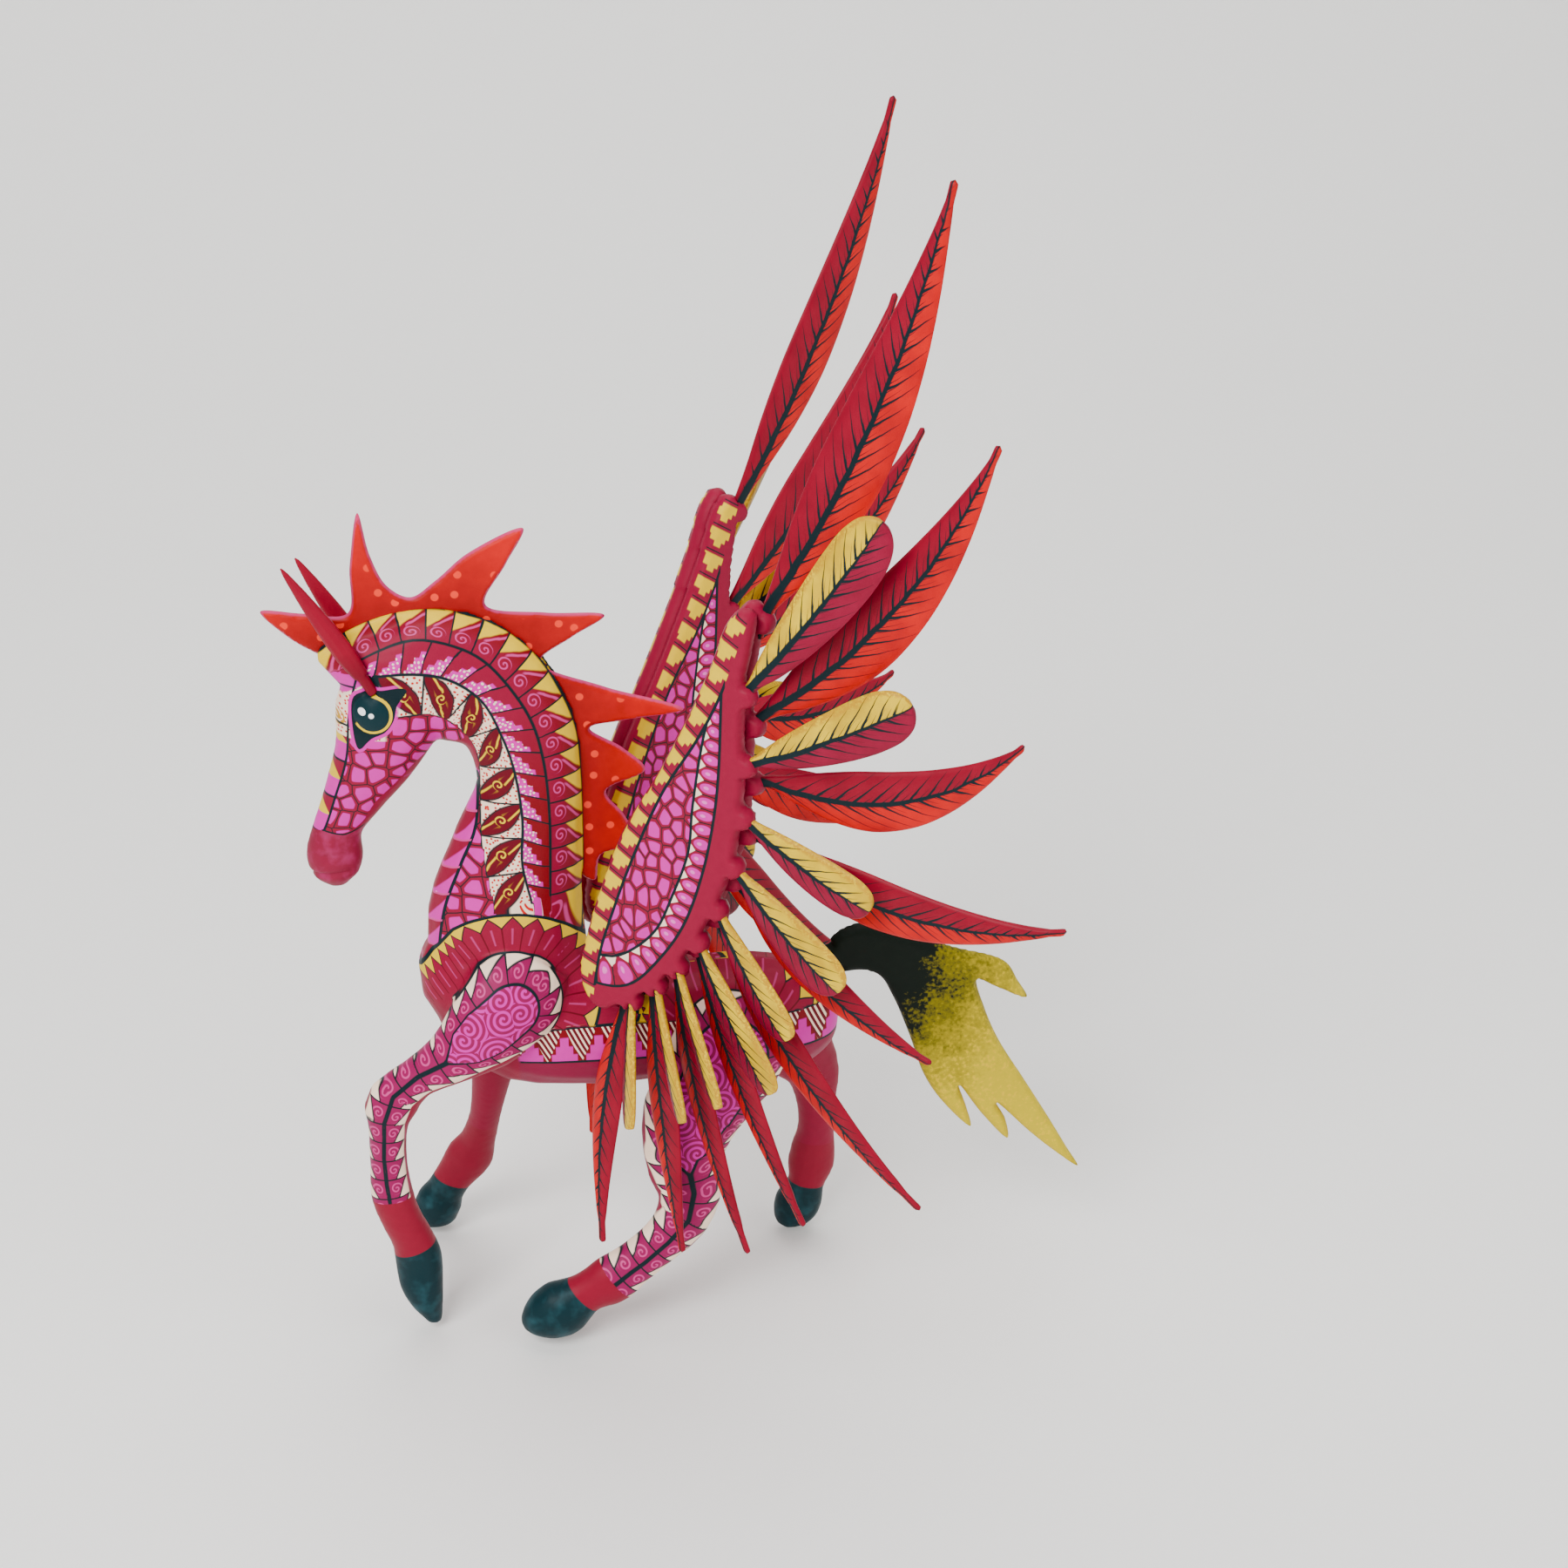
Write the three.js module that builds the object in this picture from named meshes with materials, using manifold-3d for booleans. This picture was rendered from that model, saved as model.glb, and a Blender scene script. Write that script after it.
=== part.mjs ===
// A carved and painted winged horse (alebrije), in millimetres, +Z up.
// It faces -X, stands on Z = 0, and its own left side is towards -Y.
import * as THREE from 'three';
import { mergeVertices } from 'three/addons/utils/BufferGeometryUtils.js';
import Module from 'manifold-3d';

const wasm = await Module();
wasm.setup();

// ---------------------------------------------------------------- driving dimensions
const GAP = 0.3;                   // clearance left all round a peg or tenon

const SOLE_LEVEL = 0;              // the ground, in the carving's own coordinates

const MANE_THICKNESS = 2.6;
const MANE_DEPTH_IN_NECK = 3.2;    // how far the mane board sits in its groove

const TAIL_THICKNESS = 5;
const TAIL_TENON = { length: 19, height: 8, start: [49, 113], angle: 0.45 };

const EAR_PEG = { radius: 1.6, length: 6 };
const LEG_PEG_RADIUS = 2;
const LEG_RINGS = 34;              // steps along a leg, from its seat to its hoof

const WING_ROOT = new THREE.Vector3(-30, 18.5, 115);
const WING_FLARE = THREE.MathUtils.degToRad(28);   // the wings open towards the rear
const BOARD_THICKNESS = 12;
const LOBE_RADIUS = 3.6;           // rounded end of the board at each feather
const WING_TENON = { width: 8, thickness: 6, length: 24, at: { x: 8, out: 1, z: 5 } };
const WING_TENON_TILT = THREE.MathUtils.degToRad(48);

const FEATHER_THICKNESS = 2.2;
const QUILL_WIDTH = 3.4;           // the feather's narrow foot, which fits the slot
const QUILL_DEPTH = 4.5;           // how far the foot goes into the rim
const QUILL_NECK = 3.8;            // straight stretch of the foot outside the rim

// ---------------------------------------------------------------- finishes
const burgundy = new THREE.MeshStandardMaterial({ color: 0x9c1c35, roughness: 0.5, metalness: 0 });
const crimson = new THREE.MeshStandardMaterial({ color: 0xb5162b, roughness: 0.5, metalness: 0 });
const brightRed = new THREE.MeshStandardMaterial({ color: 0xd9251f, roughness: 0.5, metalness: 0 });
const gold = new THREE.MeshStandardMaterial({ color: 0xd9b83f, roughness: 0.5, metalness: 0 });
const oliveYellow = new THREE.MeshStandardMaterial({ color: 0xc9b31e, roughness: 0.6, metalness: 0 });
const bareWood = new THREE.MeshStandardMaterial({ color: 0xd8bd8d, roughness: 0.8, metalness: 0 });

// ---------------------------------------------------------------- solids
function solidOf(geometry) {
  const bare = geometry.clone();
  bare.deleteAttribute('normal');
  bare.deleteAttribute('uv');
  const merged = mergeVertices(bare, 1e-4);
  return new wasm.Manifold(new wasm.Mesh({
    numProp: 3,
    vertProperties: new Float32Array(merged.attributes.position.array),
    triVerts: new Uint32Array(merged.index.array),
  }));
}

function geometryOf(solid) {
  const mesh = solid.getMesh();
  const geometry = new THREE.BufferGeometry();
  geometry.setAttribute('position', new THREE.BufferAttribute(mesh.vertProperties, 3));
  geometry.setIndex(new THREE.BufferAttribute(mesh.triVerts, 1));
  geometry.computeVertexNormals();
  return geometry;
}

function joined(geometries) {
  return geometries.map(solidOf).reduce((whole, next) => whole.add(next));
}

function piece(name, geometry, material) {
  const mesh = new THREE.Mesh(geometry, material);
  mesh.name = name;
  return mesh;
}

// A rounded, tapering limb. Each station is [x, y, z, half depth, half width]: the depth
// lies in the horse's side view, the width across it.
function limb(stations, sides = 14, rings = 24) {
  const path = new THREE.CatmullRomCurve3(stations.map(([x, y, z]) => new THREE.Vector3(x, y, z)));
  const radii = new THREE.CatmullRomCurve3(stations.map(([, , , d, w]) => new THREE.Vector3(d, w, 0)));
  const geometry = new THREE.CylinderGeometry(1, 1, 1, sides, rings);
  const position = geometry.attributes.position;
  const across = new THREE.Vector3(0, 1, 0);
  for (let i = 0; i < position.count; i += 1) {
    const along = THREE.MathUtils.clamp(0.5 - position.getY(i), 0, 1);
    const centre = path.getPoint(along);
    const tangent = path.getTangent(along);
    const depthways = new THREE.Vector3().crossVectors(across, tangent).normalize();
    const widthways = new THREE.Vector3().crossVectors(tangent, depthways).normalize();
    const half = radii.getPoint(along);
    centre.addScaledVector(depthways, position.getX(i) * half.x);
    centre.addScaledVector(widthways, position.getZ(i) * half.y);
    position.setXYZ(i, centre.x, centre.y, centre.z);
  }
  return facingOut(geometry);
}

// Turns every triangle round when the shape's signed volume is negative.
function facingOut(geometry) {
  const position = geometry.attributes.position;
  const index = geometry.index.array;
  const [a, b, c] = [new THREE.Vector3(), new THREE.Vector3(), new THREE.Vector3()];
  let volume = 0;
  for (let i = 0; i < index.length; i += 3) {
    a.fromBufferAttribute(position, index[i]);
    b.fromBufferAttribute(position, index[i + 1]);
    c.fromBufferAttribute(position, index[i + 2]);
    volume += a.dot(b.cross(c));
  }
  if (volume < 0) {
    for (let i = 0; i < index.length; i += 3) {
      [index[i], index[i + 1]] = [index[i + 1], index[i]];
    }
  }
  return geometry;
}

// A board cut from a side outline of [x, z] points, centred on y = 0.
function board(outline, thickness) {
  const shape = new THREE.Shape(outline.map(([x, z]) => new THREE.Vector2(x, z)));
  const geometry = new THREE.ExtrudeGeometry(shape, { depth: thickness, bevelEnabled: false });
  geometry.translate(0, 0, -thickness / 2);
  return geometry.rotateX(Math.PI / 2);
}

// A round peg whose axis runs from one [x, y, z] point to another.
function peg(from, to, radius, sides = 12) {
  const start = new THREE.Vector3(...from);
  const run = new THREE.Vector3(...to).sub(start);
  const geometry = new THREE.CylinderGeometry(radius, radius, run.length(), sides);
  geometry.translate(0, run.length() / 2, 0);
  const turn = new THREE.Quaternion().setFromUnitVectors(new THREE.Vector3(0, 1, 0), run.normalize());
  return geometry.applyQuaternion(turn).translate(start.x, start.y, start.z);
}

// ---------------------------------------------------------------- the carved horse
const torso = [
  [-75.5, 0, 118, 4, 4], [-71, 0, 116, 12.4, 10], [-61, 0, 110.5, 19, 15.5], [-46, 0, 98.5, 24, 17.5],
  [-28, 0, 92.5, 19.5, 17.5], [-6, 0, 92, 18, 17], [14, 0, 92, 18.5, 17], [30, 0, 92, 17, 15.5],
  [38.5, 0, 94, 12, 11], [42.5, 0, 95.5, 4, 4],
];
const neck = [
  [-50, 0, 104, 23, 14], [-51.5, 0, 128, 22.5, 13.5], [-47.3, 0, 150, 18.6, 11.5],
  [-43, 0, 172, 14.8, 10], [-47.5, 0, 192, 16.5, 9.5], [-62.5, 0, 203.5, 20, 9.5],
  [-77, 0, 204.5, 18, 9.5], [-90, 0, 209, 8, 6.5], [-98.5, 0, 212.5, 2.5, 3],
];
const head = [
  [-72, 0, 207, 12, 8], [-79.2, 0, 195.5, 15.6, 10.5], [-84.6, 0, 181.5, 12, 9.5],
  [-91.5, 0, 169, 8.6, 7.4], [-96.7, 0, 159, 6.8, 5.8], [-98.2, 0, 150.5, 8, 6.2],
  [-98, 0, 144.5, 6.4, 5], [-97.6, 0, 141, 2.2, 2.2],
];

// The crest is the neck's upper edge, from the forehead to the withers.
const crest = [
  [-99, 213.5], [-91, 219], [-79, 223.5], [-66, 224.5], [-54, 220], [-43, 211], [-34, 196],
  [-28.5, 178], [-27.5, 160], [-28, 142],
];

function crestOffset(distance) {
  return crest.map(([x, z], i) => {
    const [x0, z0] = crest[Math.max(i - 1, 0)];
    const [x1, z1] = crest[Math.min(i + 1, crest.length - 1)];
    const length = Math.hypot(x1 - x0, z1 - z0);
    return [x - ((z1 - z0) / length) * distance, z + ((x1 - x0) / length) * distance];
  });
}

const legs = {
  left_foreleg: {
    limb: [
      [-43, -10, 119, 11, 5], [-49, -13.5, 111, 15, 8.5], [-58, -16.5, 101, 13, 8.5],
      [-69, -17.5, 92.5, 8.2, 7], [-79, -17.5, 86.3, 6, 6], [-86.4, -17.5, 78.6, 7.8, 5.8],
      [-88, -17.5, 70, 5.5, 5], [-88.5, -17, 58, 5.4, 4.8], [-88.2, -16.5, 47, 6.2, 5],
      [-86.2, -15.5, 38, 6, 4.8], [-83.4, -14, 29.5, 6.2, 5.2], [-82, -13, 22, 7, 5.8],
    ],
    hoof: [
      [-81.6, -13.5, 13.5, 6.6, 5.8], [-80.2, -14, 7, 5, 4.8], [-78.8, -14, 2.2, 3, 3.4],
      [-78, -14, -1.5, 1.8, 2.2],
    ],
    peg: [[-49, 1, 109], [-53, -18, 105]],
  },
  right_foreleg: {
    limb: [
      [-43, 9, 112, 13, 5], [-49, 12.5, 98, 13.5, 8.5], [-54, 16.5, 83, 10, 7.5],
      [-57, 20, 70, 7.3, 6], [-59, 23.5, 57, 5.6, 5], [-61, 27.5, 44.5, 4.8, 4.4],
      [-63.5, 31, 34, 5.4, 4.6], [-66.6, 33.5, 26, 7.4, 5.4], [-72, 35, 17.5, 6, 5],
    ],
    hoof: [
      [-74.6, 36, 12.6, 6, 5.2], [-76.6, 36.6, 8.4, 7.2, 6.2], [-78.4, 37, 4, 7.2, 6],
      [-79.8, 37.2, 0.6, 5, 4.6], [-80.6, 37.2, -1.6, 2.4, 2.4],
    ],
    peg: [[-49, -1, 98], [-52, 18, 90]],
  },
  left_hind_leg: {
    limb: [
      [17, -8, 100, 13, 5], [10.5, -12.5, 86, 17, 8.5], [-0.5, -17.5, 70, 15, 8.5],
      [-3.5, -20, 56, 11.6, 7], [-2, -22, 45, 9.4, 6.4], [-5, -23, 36, 8.2, 5.8],
      [-12.5, -24, 28.3, 6.8, 5.2], [-19.5, -24.5, 22.6, 7, 5.2], [-25.5, -25, 18.2, 8, 5.8],
      [-32.5, -25, 14.5, 6.4, 5.4],
    ],
    hoof: [
      [-36, -24.8, 12, 7.4, 6.2], [-40.6, -24.6, 8.8, 9.2, 7.4], [-46, -24.5, 6.4, 7.8, 6.8],
      [-50, -24.5, 4.8, 4.8, 4.8], [-52.2, -24.5, 4, 1.8, 2],
    ],
    peg: [[11, 1, 93], [8, -18, 86]],
  },
  right_hind_leg: {
    limb: [
      [23, 8, 99, 13, 5], [27, 12.5, 85, 15, 8.5], [33, 16.5, 70, 12, 7.6],
      [38.5, 19, 59.5, 8.6, 6], [40, 20.5, 48, 6.2, 5], [40.2, 22, 38, 5.6, 4.8],
      [39.6, 23.5, 29.5, 6.8, 5], [39, 24.5, 22.5, 7.4, 5.2], [37.6, 25, 15, 5.8, 5],
    ],
    hoof: [
      [36.4, 25.2, 11, 6.8, 5.8], [34.8, 25.5, 6.6, 7.4, 6.2], [32.8, 25.5, 2.6, 6.2, 5.4],
      [31.2, 25.5, -0.6, 3.8, 3.8],
    ],
    peg: [[27, -1, 92], [30, 17, 84]],
  },
};

// The hoof carries on from the pastern, and each sole is cut flat on the ground.
function legSolid(leg) {
  const ground = new THREE.BoxGeometry(400, 400, 40).translate(0, 0, SOLE_LEVEL - 20);
  return solidOf(limb([...leg.limb, ...leg.hoof], 14, LEG_RINGS)).subtract(solidOf(ground));
}

// The seat that a leg leaves in the body: the same limb, larger all round.
function legSeat(leg) {
  const stations = [...leg.limb, ...leg.hoof];
  const grown = stations.map(([x, y, z, d, w]) => [x, y, z, d + GAP, w + GAP]);
  const [first, second] = [new THREE.Vector3(...leg.limb[0]), new THREE.Vector3(...leg.limb[1])];
  const start = first.clone().add(first.clone().sub(second).setLength(2 * GAP));
  grown[0].splice(0, 3, start.x, start.y, start.z);
  return solidOf(limb(grown, 14, LEG_RINGS));
}

function lengthened([from, to], extra) {
  const start = new THREE.Vector3(...from);
  const end = new THREE.Vector3(...to);
  const step = new THREE.Vector3().subVectors(end, start).setLength(extra);
  return [start.sub(step).toArray(), end.add(step).toArray()];
}

// ---------------------------------------------------------------- ears, mane and tail
const earBase = { x: -87, y: 8, z: 207.5 };
const earTips = { '-1': { x: -106, y: 9.5, z: 240 }, 1: { x: -103.5, y: 9.5, z: 235.5 } };

function earAxis(side) {
  const base = new THREE.Vector3(earBase.x, side * earBase.y, earBase.z);
  const { x, y, z } = earTips[side];
  const tip = new THREE.Vector3(x, side * y, z);
  return { base, tip, direction: new THREE.Vector3().subVectors(tip, base).normalize() };
}

// The ear's slim blade and the peg below it, both larger all round by the clearance.
function ear(side, clearance) {
  const { base, tip, direction } = earAxis(side);
  const at = (t) => base.clone().lerp(tip, t).toArray();
  const blade = limb([
    [0, 2.2, 1.7], [0.2, 3, 2.2], [0.45, 2.7, 1.9], [0.75, 1.7, 1.3], [0.94, 0.8, 0.7], [1, 0.25, 0.25],
  ].map(([t, d, w]) => [...at(t), d + clearance, w + clearance]), 10, 10);
  const start = base.clone().addScaledVector(direction, -EAR_PEG.length - clearance);
  const end = base.clone().addScaledVector(direction, 2);
  const stem = peg(start.toArray(), end.toArray(), EAR_PEG.radius + clearance);
  return joined([blade, stem]);
}

// The mane board's spikes, from the forelock back and down: [x, z] of each tip and valley.
const maneEdge = [
  [-101, 212.5], [-107, 217], [-113, 224], [-102, 223], [-90, 222.5], [-88.5, 236], [-85.5, 251],
  [-83, 239], [-79, 230], [-73, 226.5], [-66, 231], [-57, 238.5], [-42, 245], [-47, 235], [-53, 223.5],
  [-37, 220.5], [-21, 219], [-30, 213], [-39, 206], [-22, 198], [0, 190], [-16, 187.5],
  [-26, 185.5], [-17, 179], [-11, 172], [-22, 166], [-17, 158], [-14, 149], [-24, 146], [-26, 138],
];

function mane() {
  const foot = crestOffset(-MANE_DEPTH_IN_NECK).reverse();
  return board([...maneEdge, ...foot], MANE_THICKNESS);
}

function maneGroove() {
  const lip = crestOffset(6);
  const floor = crestOffset(-MANE_DEPTH_IN_NECK - GAP).reverse();
  const first = lip[0];
  const last = lip[lip.length - 1];
  lip[0] = [first[0] - 3, first[1] - 1];
  lip[lip.length - 1] = [last[0], last[1] - 6];
  floor[0] = [floor[0][0], floor[0][1] - 6];
  floor.push([first[0] - 1, first[1] - 9]);
  return board([...lip, ...floor], MANE_THICKNESS + 2 * GAP);
}

// The tail board: an arched root, a torn lower edge and a long pointed end.
const tailEdge = [
  [41.5, 115], [46, 118.5], [52, 119.5], [62, 116], [78, 110], [93, 104.5], [97, 98], [100, 92], [90, 96.5],
  [85, 99], [87.5, 89], [92, 78], [100, 64], [108, 50], [114, 39], [118, 31.5], [111, 37],
  [103, 44.5], [92, 56], [95, 50], [96, 43], [88, 52], [80.5, 63], [83, 55], [84.5, 48], [76, 57],
  [70, 67], [65, 82], [60, 95], [56, 102], [50, 104.5], [44.5, 104],
];
const tailPull = { x: Math.cos(TAIL_TENON.angle), z: Math.sin(TAIL_TENON.angle) };

function tailTenon(clearance) {
  const half = TAIL_TENON.height / 2 + clearance;
  const run = TAIL_TENON.length + clearance;
  const [x, z] = TAIL_TENON.start;
  const end = [x - tailPull.x * run, z - tailPull.z * run];
  const side = [-tailPull.z * half, tailPull.x * half];
  return board([
    [x - side[0], z - side[1]], [x + side[0], z + side[1]],
    [end[0] + side[0], end[1] + side[1]], [end[0] - side[0], end[1] - side[1]],
  ], TAIL_THICKNESS + 2 * clearance);
}

// ---------------------------------------------------------------- wing boards
// Wing outlines are [trailing, up] from the wing's root, in the plane of the wing.
const leadingEdge = [
  [50, 123], [46, 119], [41, 106], [34.6, 91], [25, 71.5], [14.6, 53], [7, 33], [2, 16], [0.5, 6], [4, -3],
];
const rim = new THREE.CatmullRomCurve3([
  [53.5, 121.5], [52.5, 112], [50.5, 98], [50.5, 80], [49.5, 62], [46, 45], [39.5, 29], [31, 15],
  [20, 3], [9, -4],
].map(([x, z]) => new THREE.Vector3(x, 0, z)));

// Where each feather stands along the rim, from the tip of the wing to its root.
const longStations = [0.03, 0.245, 0.365, 0.475, 0.585, 0.68, 0.765, 0.84, 0.91, 0.98];
const roundStations = [0.165, 0.31, 0.42, 0.53, 0.635, 0.725, 0.805, 0.875, 0.945];

// angle: direction in the wing's plane, degrees above straight back. twist: the trailing
// edge turned outwards. tilt: leaning outwards. sag: how far the middle bows off the straight line.
const longFeathers = {
  left: [
    { angle: 69, length: 125, width: 18, sag: 5.5, twist: 0, tilt: -6 },
    { angle: 53, length: 105, width: 18, sag: 7.5, twist: 0, tilt: -3 },
    { angle: 17, length: 77, width: 18, sag: 10.5, twist: 3, tilt: -2 },
    { angle: -8, length: 90, width: 17, sag: 10, twist: 6, tilt: -1 },
    { angle: -38, length: 73, width: 14, sag: 6, twist: 12, tilt: 0 },
    { angle: -53, length: 101, width: 14, sag: 8, twist: 18, tilt: 0 },
    { angle: -68, length: 89, width: 12, sag: 3.5, twist: 26, tilt: 2 },
    { angle: -75, length: 90, width: 12, sag: 4, twist: 28, tilt: 3 },
    { angle: -82, length: 83, width: 12, sag: 1, twist: 24, tilt: 6 },
    { angle: -93, length: 78, width: 11, sag: 3.5, twist: 22, tilt: 9 },
  ],
  right: [
    { angle: 69, length: 123, width: 15, sag: 4.5, twist: 0, tilt: -6 },
    { angle: 58, length: 102, width: 18, sag: 6, twist: 0, tilt: -3 },
    { angle: 42, length: 90, width: 17, sag: 6, twist: 3, tilt: -2 },
    { angle: -1, length: 61, width: 17, sag: 7, twist: 6, tilt: -1 },
    { angle: -21, length: 95.9, width: 15, sag: 7, twist: 9, tilt: 0 },
    { angle: -50, length: 92, width: 14, sag: 8, twist: 18, tilt: 0 },
    { angle: -66, length: 89, width: 12, sag: 3.5, twist: 26, tilt: 2 },
    { angle: -76, length: 88, width: 12, sag: 4, twist: 28, tilt: 3 },
    { angle: -83, length: 84, width: 12, sag: 1, twist: 24, tilt: 6 },
    { angle: -93, length: 80, width: 11, sag: 3.5, twist: 22, tilt: 9 },
  ],
};
const roundFeathers = {
  left: [
    { angle: 55, length: 65, width: 16, sag: 1.2, twist: 0, tilt: 0 },
    { angle: 29, length: 53, width: 16, sag: 1.2, twist: 4, tilt: 1 },
    { angle: -27, length: 42, width: 14, sag: 1.2, twist: 6, tilt: 3 },
    { angle: -43, length: 44, width: 16, sag: 1.2, twist: 10, tilt: 4 },
    { angle: -57, length: 41, width: 14, sag: 1.2, twist: 22, tilt: 5 },
    { angle: -59, length: 47, width: 15, sag: 1.2, twist: 27, tilt: 7 },
    { angle: -66, length: 41, width: 13, sag: 0.6, twist: 46, tilt: 14 },
    { angle: -70, length: 39, width: 12, sag: 0.6, twist: 48, tilt: 18 },
    { angle: -84, length: 37, width: 12, sag: 0.6, twist: 51, tilt: 18 },
  ],
};
roundFeathers.right = roundFeathers.left.map((feather, i) => (
  i === 0 ? { ...feather, angle: 57, length: 50, width: 14, twist: -49, tilt: 3 } : feather
));

// Outward offset of each row inside the board's thickness.
const longRow = { top: -3.2, foot: -2.4 };
const roundRow = { top: 3.2, foot: 3.2 };

// Half-widths as shares of the full half-width, at shares of the length.
const longProfile = [
  [0.09, 0.48], [0.2, 0.8], [0.34, 1], [0.5, 0.93], [0.64, 0.74], [0.78, 0.48],
  [0.9, 0.23], [0.97, 0.09],
];
const roundProfile = [
  [0.12, 0.46], [0.3, 0.72], [0.52, 0.92], [0.72, 1], [0.86, 0.93], [0.95, 0.68], [0.99, 0.34],
];

// A feather blade on the XZ plane, its foot at the origin and its length along +X.
function feather({ length, width, sag }, profile) {
  const blade = length - QUILL_NECK;
  const middle = (t) => -4 * sag * t * (1 - t);
  const edge = (sign) => profile.map(([t, share]) => (
    [QUILL_NECK + t * blade, middle(t) + (sign * share * width) / 2]
  ));
  const tip = [length, middle(1)];
  const foot = QUILL_WIDTH / 2;
  const outline = [
    [-QUILL_DEPTH, foot], [QUILL_NECK, foot], ...edge(1), tip, ...edge(-1).reverse(),
    [QUILL_NECK, -foot], [-QUILL_DEPTH, -foot],
  ];
  return board(outline, FEATHER_THICKNESS);
}

// Cuts a feather's slot: the foot's shape, larger all round and open towards the blade.
function slotCutter() {
  const inward = QUILL_DEPTH + GAP;
  const outward = LOBE_RADIUS + QUILL_DEPTH;
  const cutter = new THREE.BoxGeometry(
    inward + outward,
    FEATHER_THICKNESS + 2 * GAP,
    QUILL_WIDTH + 2 * GAP,
  );
  return cutter.translate((outward - inward) / 2, 0, 0);
}

// Where a feather sits in its wing: side is -1 for the left wing, +1 for the right.
function featherPlace(spec, station, row, side) {
  const foot = rim.getPointAt(station);
  const outward = THREE.MathUtils.lerp(row.top, row.foot, station);
  const turn = (axis, degrees) => new THREE.Quaternion()
    .setFromAxisAngle(axis, THREE.MathUtils.degToRad(degrees));
  const inPlane = turn(new THREE.Vector3(0, 1, 0), -spec.angle);
  const tilt = turn(new THREE.Vector3(0, 0, 1), side * spec.tilt);
  const twist = turn(new THREE.Vector3(1, 0, 0), -side * spec.twist);
  return new THREE.Matrix4().compose(
    new THREE.Vector3(foot.x, side * outward, foot.z),
    inPlane.multiply(tilt).multiply(twist),
    new THREE.Vector3(1, 1, 1),
  );
}

function wingFeathers(sideName) {
  const side = sideName === 'left' ? -1 : 1;
  const rows = [
    { kind: 'long', specs: longFeathers, stations: longStations, row: longRow,
      profile: longProfile, material: crimson },
    { kind: 'round', specs: roundFeathers, stations: roundStations, row: roundRow,
      profile: roundProfile, material: gold },
  ];
  return rows.flatMap(({ kind, specs, stations, row, profile, material }) => (
    specs[sideName].map((spec, i) => {
      const number = String(i + 1).padStart(2, '0');
      const mesh = piece(`${sideName}_${kind}_feather_${number}`, feather(spec, profile), material);
      const place = featherPlace(spec, stations[i], row, side);
      mesh.applyMatrix4(place);
      return { mesh, slot: slotCutter().applyMatrix4(place) };
    })
  ));
}

// One layer of the board, with a rounded lobe at each of its feathers.
function boardLayer(stations, thickness) {
  const edge = rim.getSpacedPoints(14).map((p) => [p.x, p.z]);
  const plate = board([...edge, ...[...leadingEdge].reverse()], thickness);
  const lobes = stations.map((station) => {
    const foot = rim.getPointAt(station);
    const lobe = new THREE.CylinderGeometry(LOBE_RADIUS, LOBE_RADIUS, thickness, 10);
    return lobe.translate(foot.x, 0, foot.z);
  });
  return joined([plate, ...lobes]);
}

// The tenon leaves the board's root inwards and down, and sits in the horse's flank.
function wingTenon(side, clearance) {
  const { width, thickness, length, at } = WING_TENON;
  const geometry = new THREE.BoxGeometry(
    width + 2 * clearance,
    length + 2 * clearance,
    thickness + 2 * clearance,
  );
  geometry.translate(0, (-side * length) / 2, 0);
  geometry.rotateX(side * WING_TENON_TILT);
  return geometry.translate(at.x, side * at.out, at.z);
}

function wingBoard(side, slots) {
  const half = BOARD_THICKNESS / 2;
  const outer = boardLayer(roundStations, half).translate([0, (side * half) / 2, 0]);
  const inner = boardLayer(longStations, half).translate([0, (-side * half) / 2, 0]);
  const whole = outer.add(inner).add(solidOf(wingTenon(side, 0)));
  return slots.reduce((rest, slot) => rest.subtract(solidOf(slot)), whole);
}

function wing(sideName) {
  const side = sideName === 'left' ? -1 : 1;
  const group = new THREE.Group();
  group.position.set(WING_ROOT.x, side * WING_ROOT.y, WING_ROOT.z);
  group.rotation.z = side * WING_FLARE;
  group.updateMatrix();
  const feathers = wingFeathers(sideName);
  const solid = wingBoard(side, feathers.map(({ slot }) => slot));
  group.add(piece(`${sideName}_wing_board`, geometryOf(solid), burgundy));
  feathers.forEach(({ mesh }) => group.add(mesh));
  const socket = wingTenon(side, GAP).applyMatrix4(group.matrix);
  return { group, socket };
}

// ---------------------------------------------------------------- assembly
function horse(wingSockets) {
  const group = new THREE.Group();
  const whole = joined([limb(torso, 20, 26), limb(neck, 18, 30), limb(head, 16, 22)]);
  const legParts = Object.entries(legs).map(([name, leg]) => ({ name, leg, solid: legSolid(leg) }));
  const pegHole = ({ peg: [from, to] }) => (
    solidOf(peg(...lengthened([from, to], GAP), LEG_PEG_RADIUS + GAP))
  );
  const sockets = [maneGroove(), tailTenon(GAP), ...wingSockets].map(solidOf);
  const cutters = [...sockets, ear(-1, GAP), ear(1, GAP)];
  const seats = legParts.map(({ leg }) => legSeat(leg));
  const body = [...cutters, ...seats].reduce((rest, cutter) => rest.subtract(cutter), whole);
  const bored = legParts.reduce((rest, { leg }) => rest.subtract(pegHole(leg)), body);
  group.add(piece('body', geometryOf(bored), burgundy));
  legParts.forEach(({ name, leg, solid }) => {
    group.add(piece(name, geometryOf(solid.subtract(pegHole(leg))), burgundy));
    group.add(piece(`${name}_peg`, peg(...leg.peg, LEG_PEG_RADIUS), bareWood));
  });
  return group;
}

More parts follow.
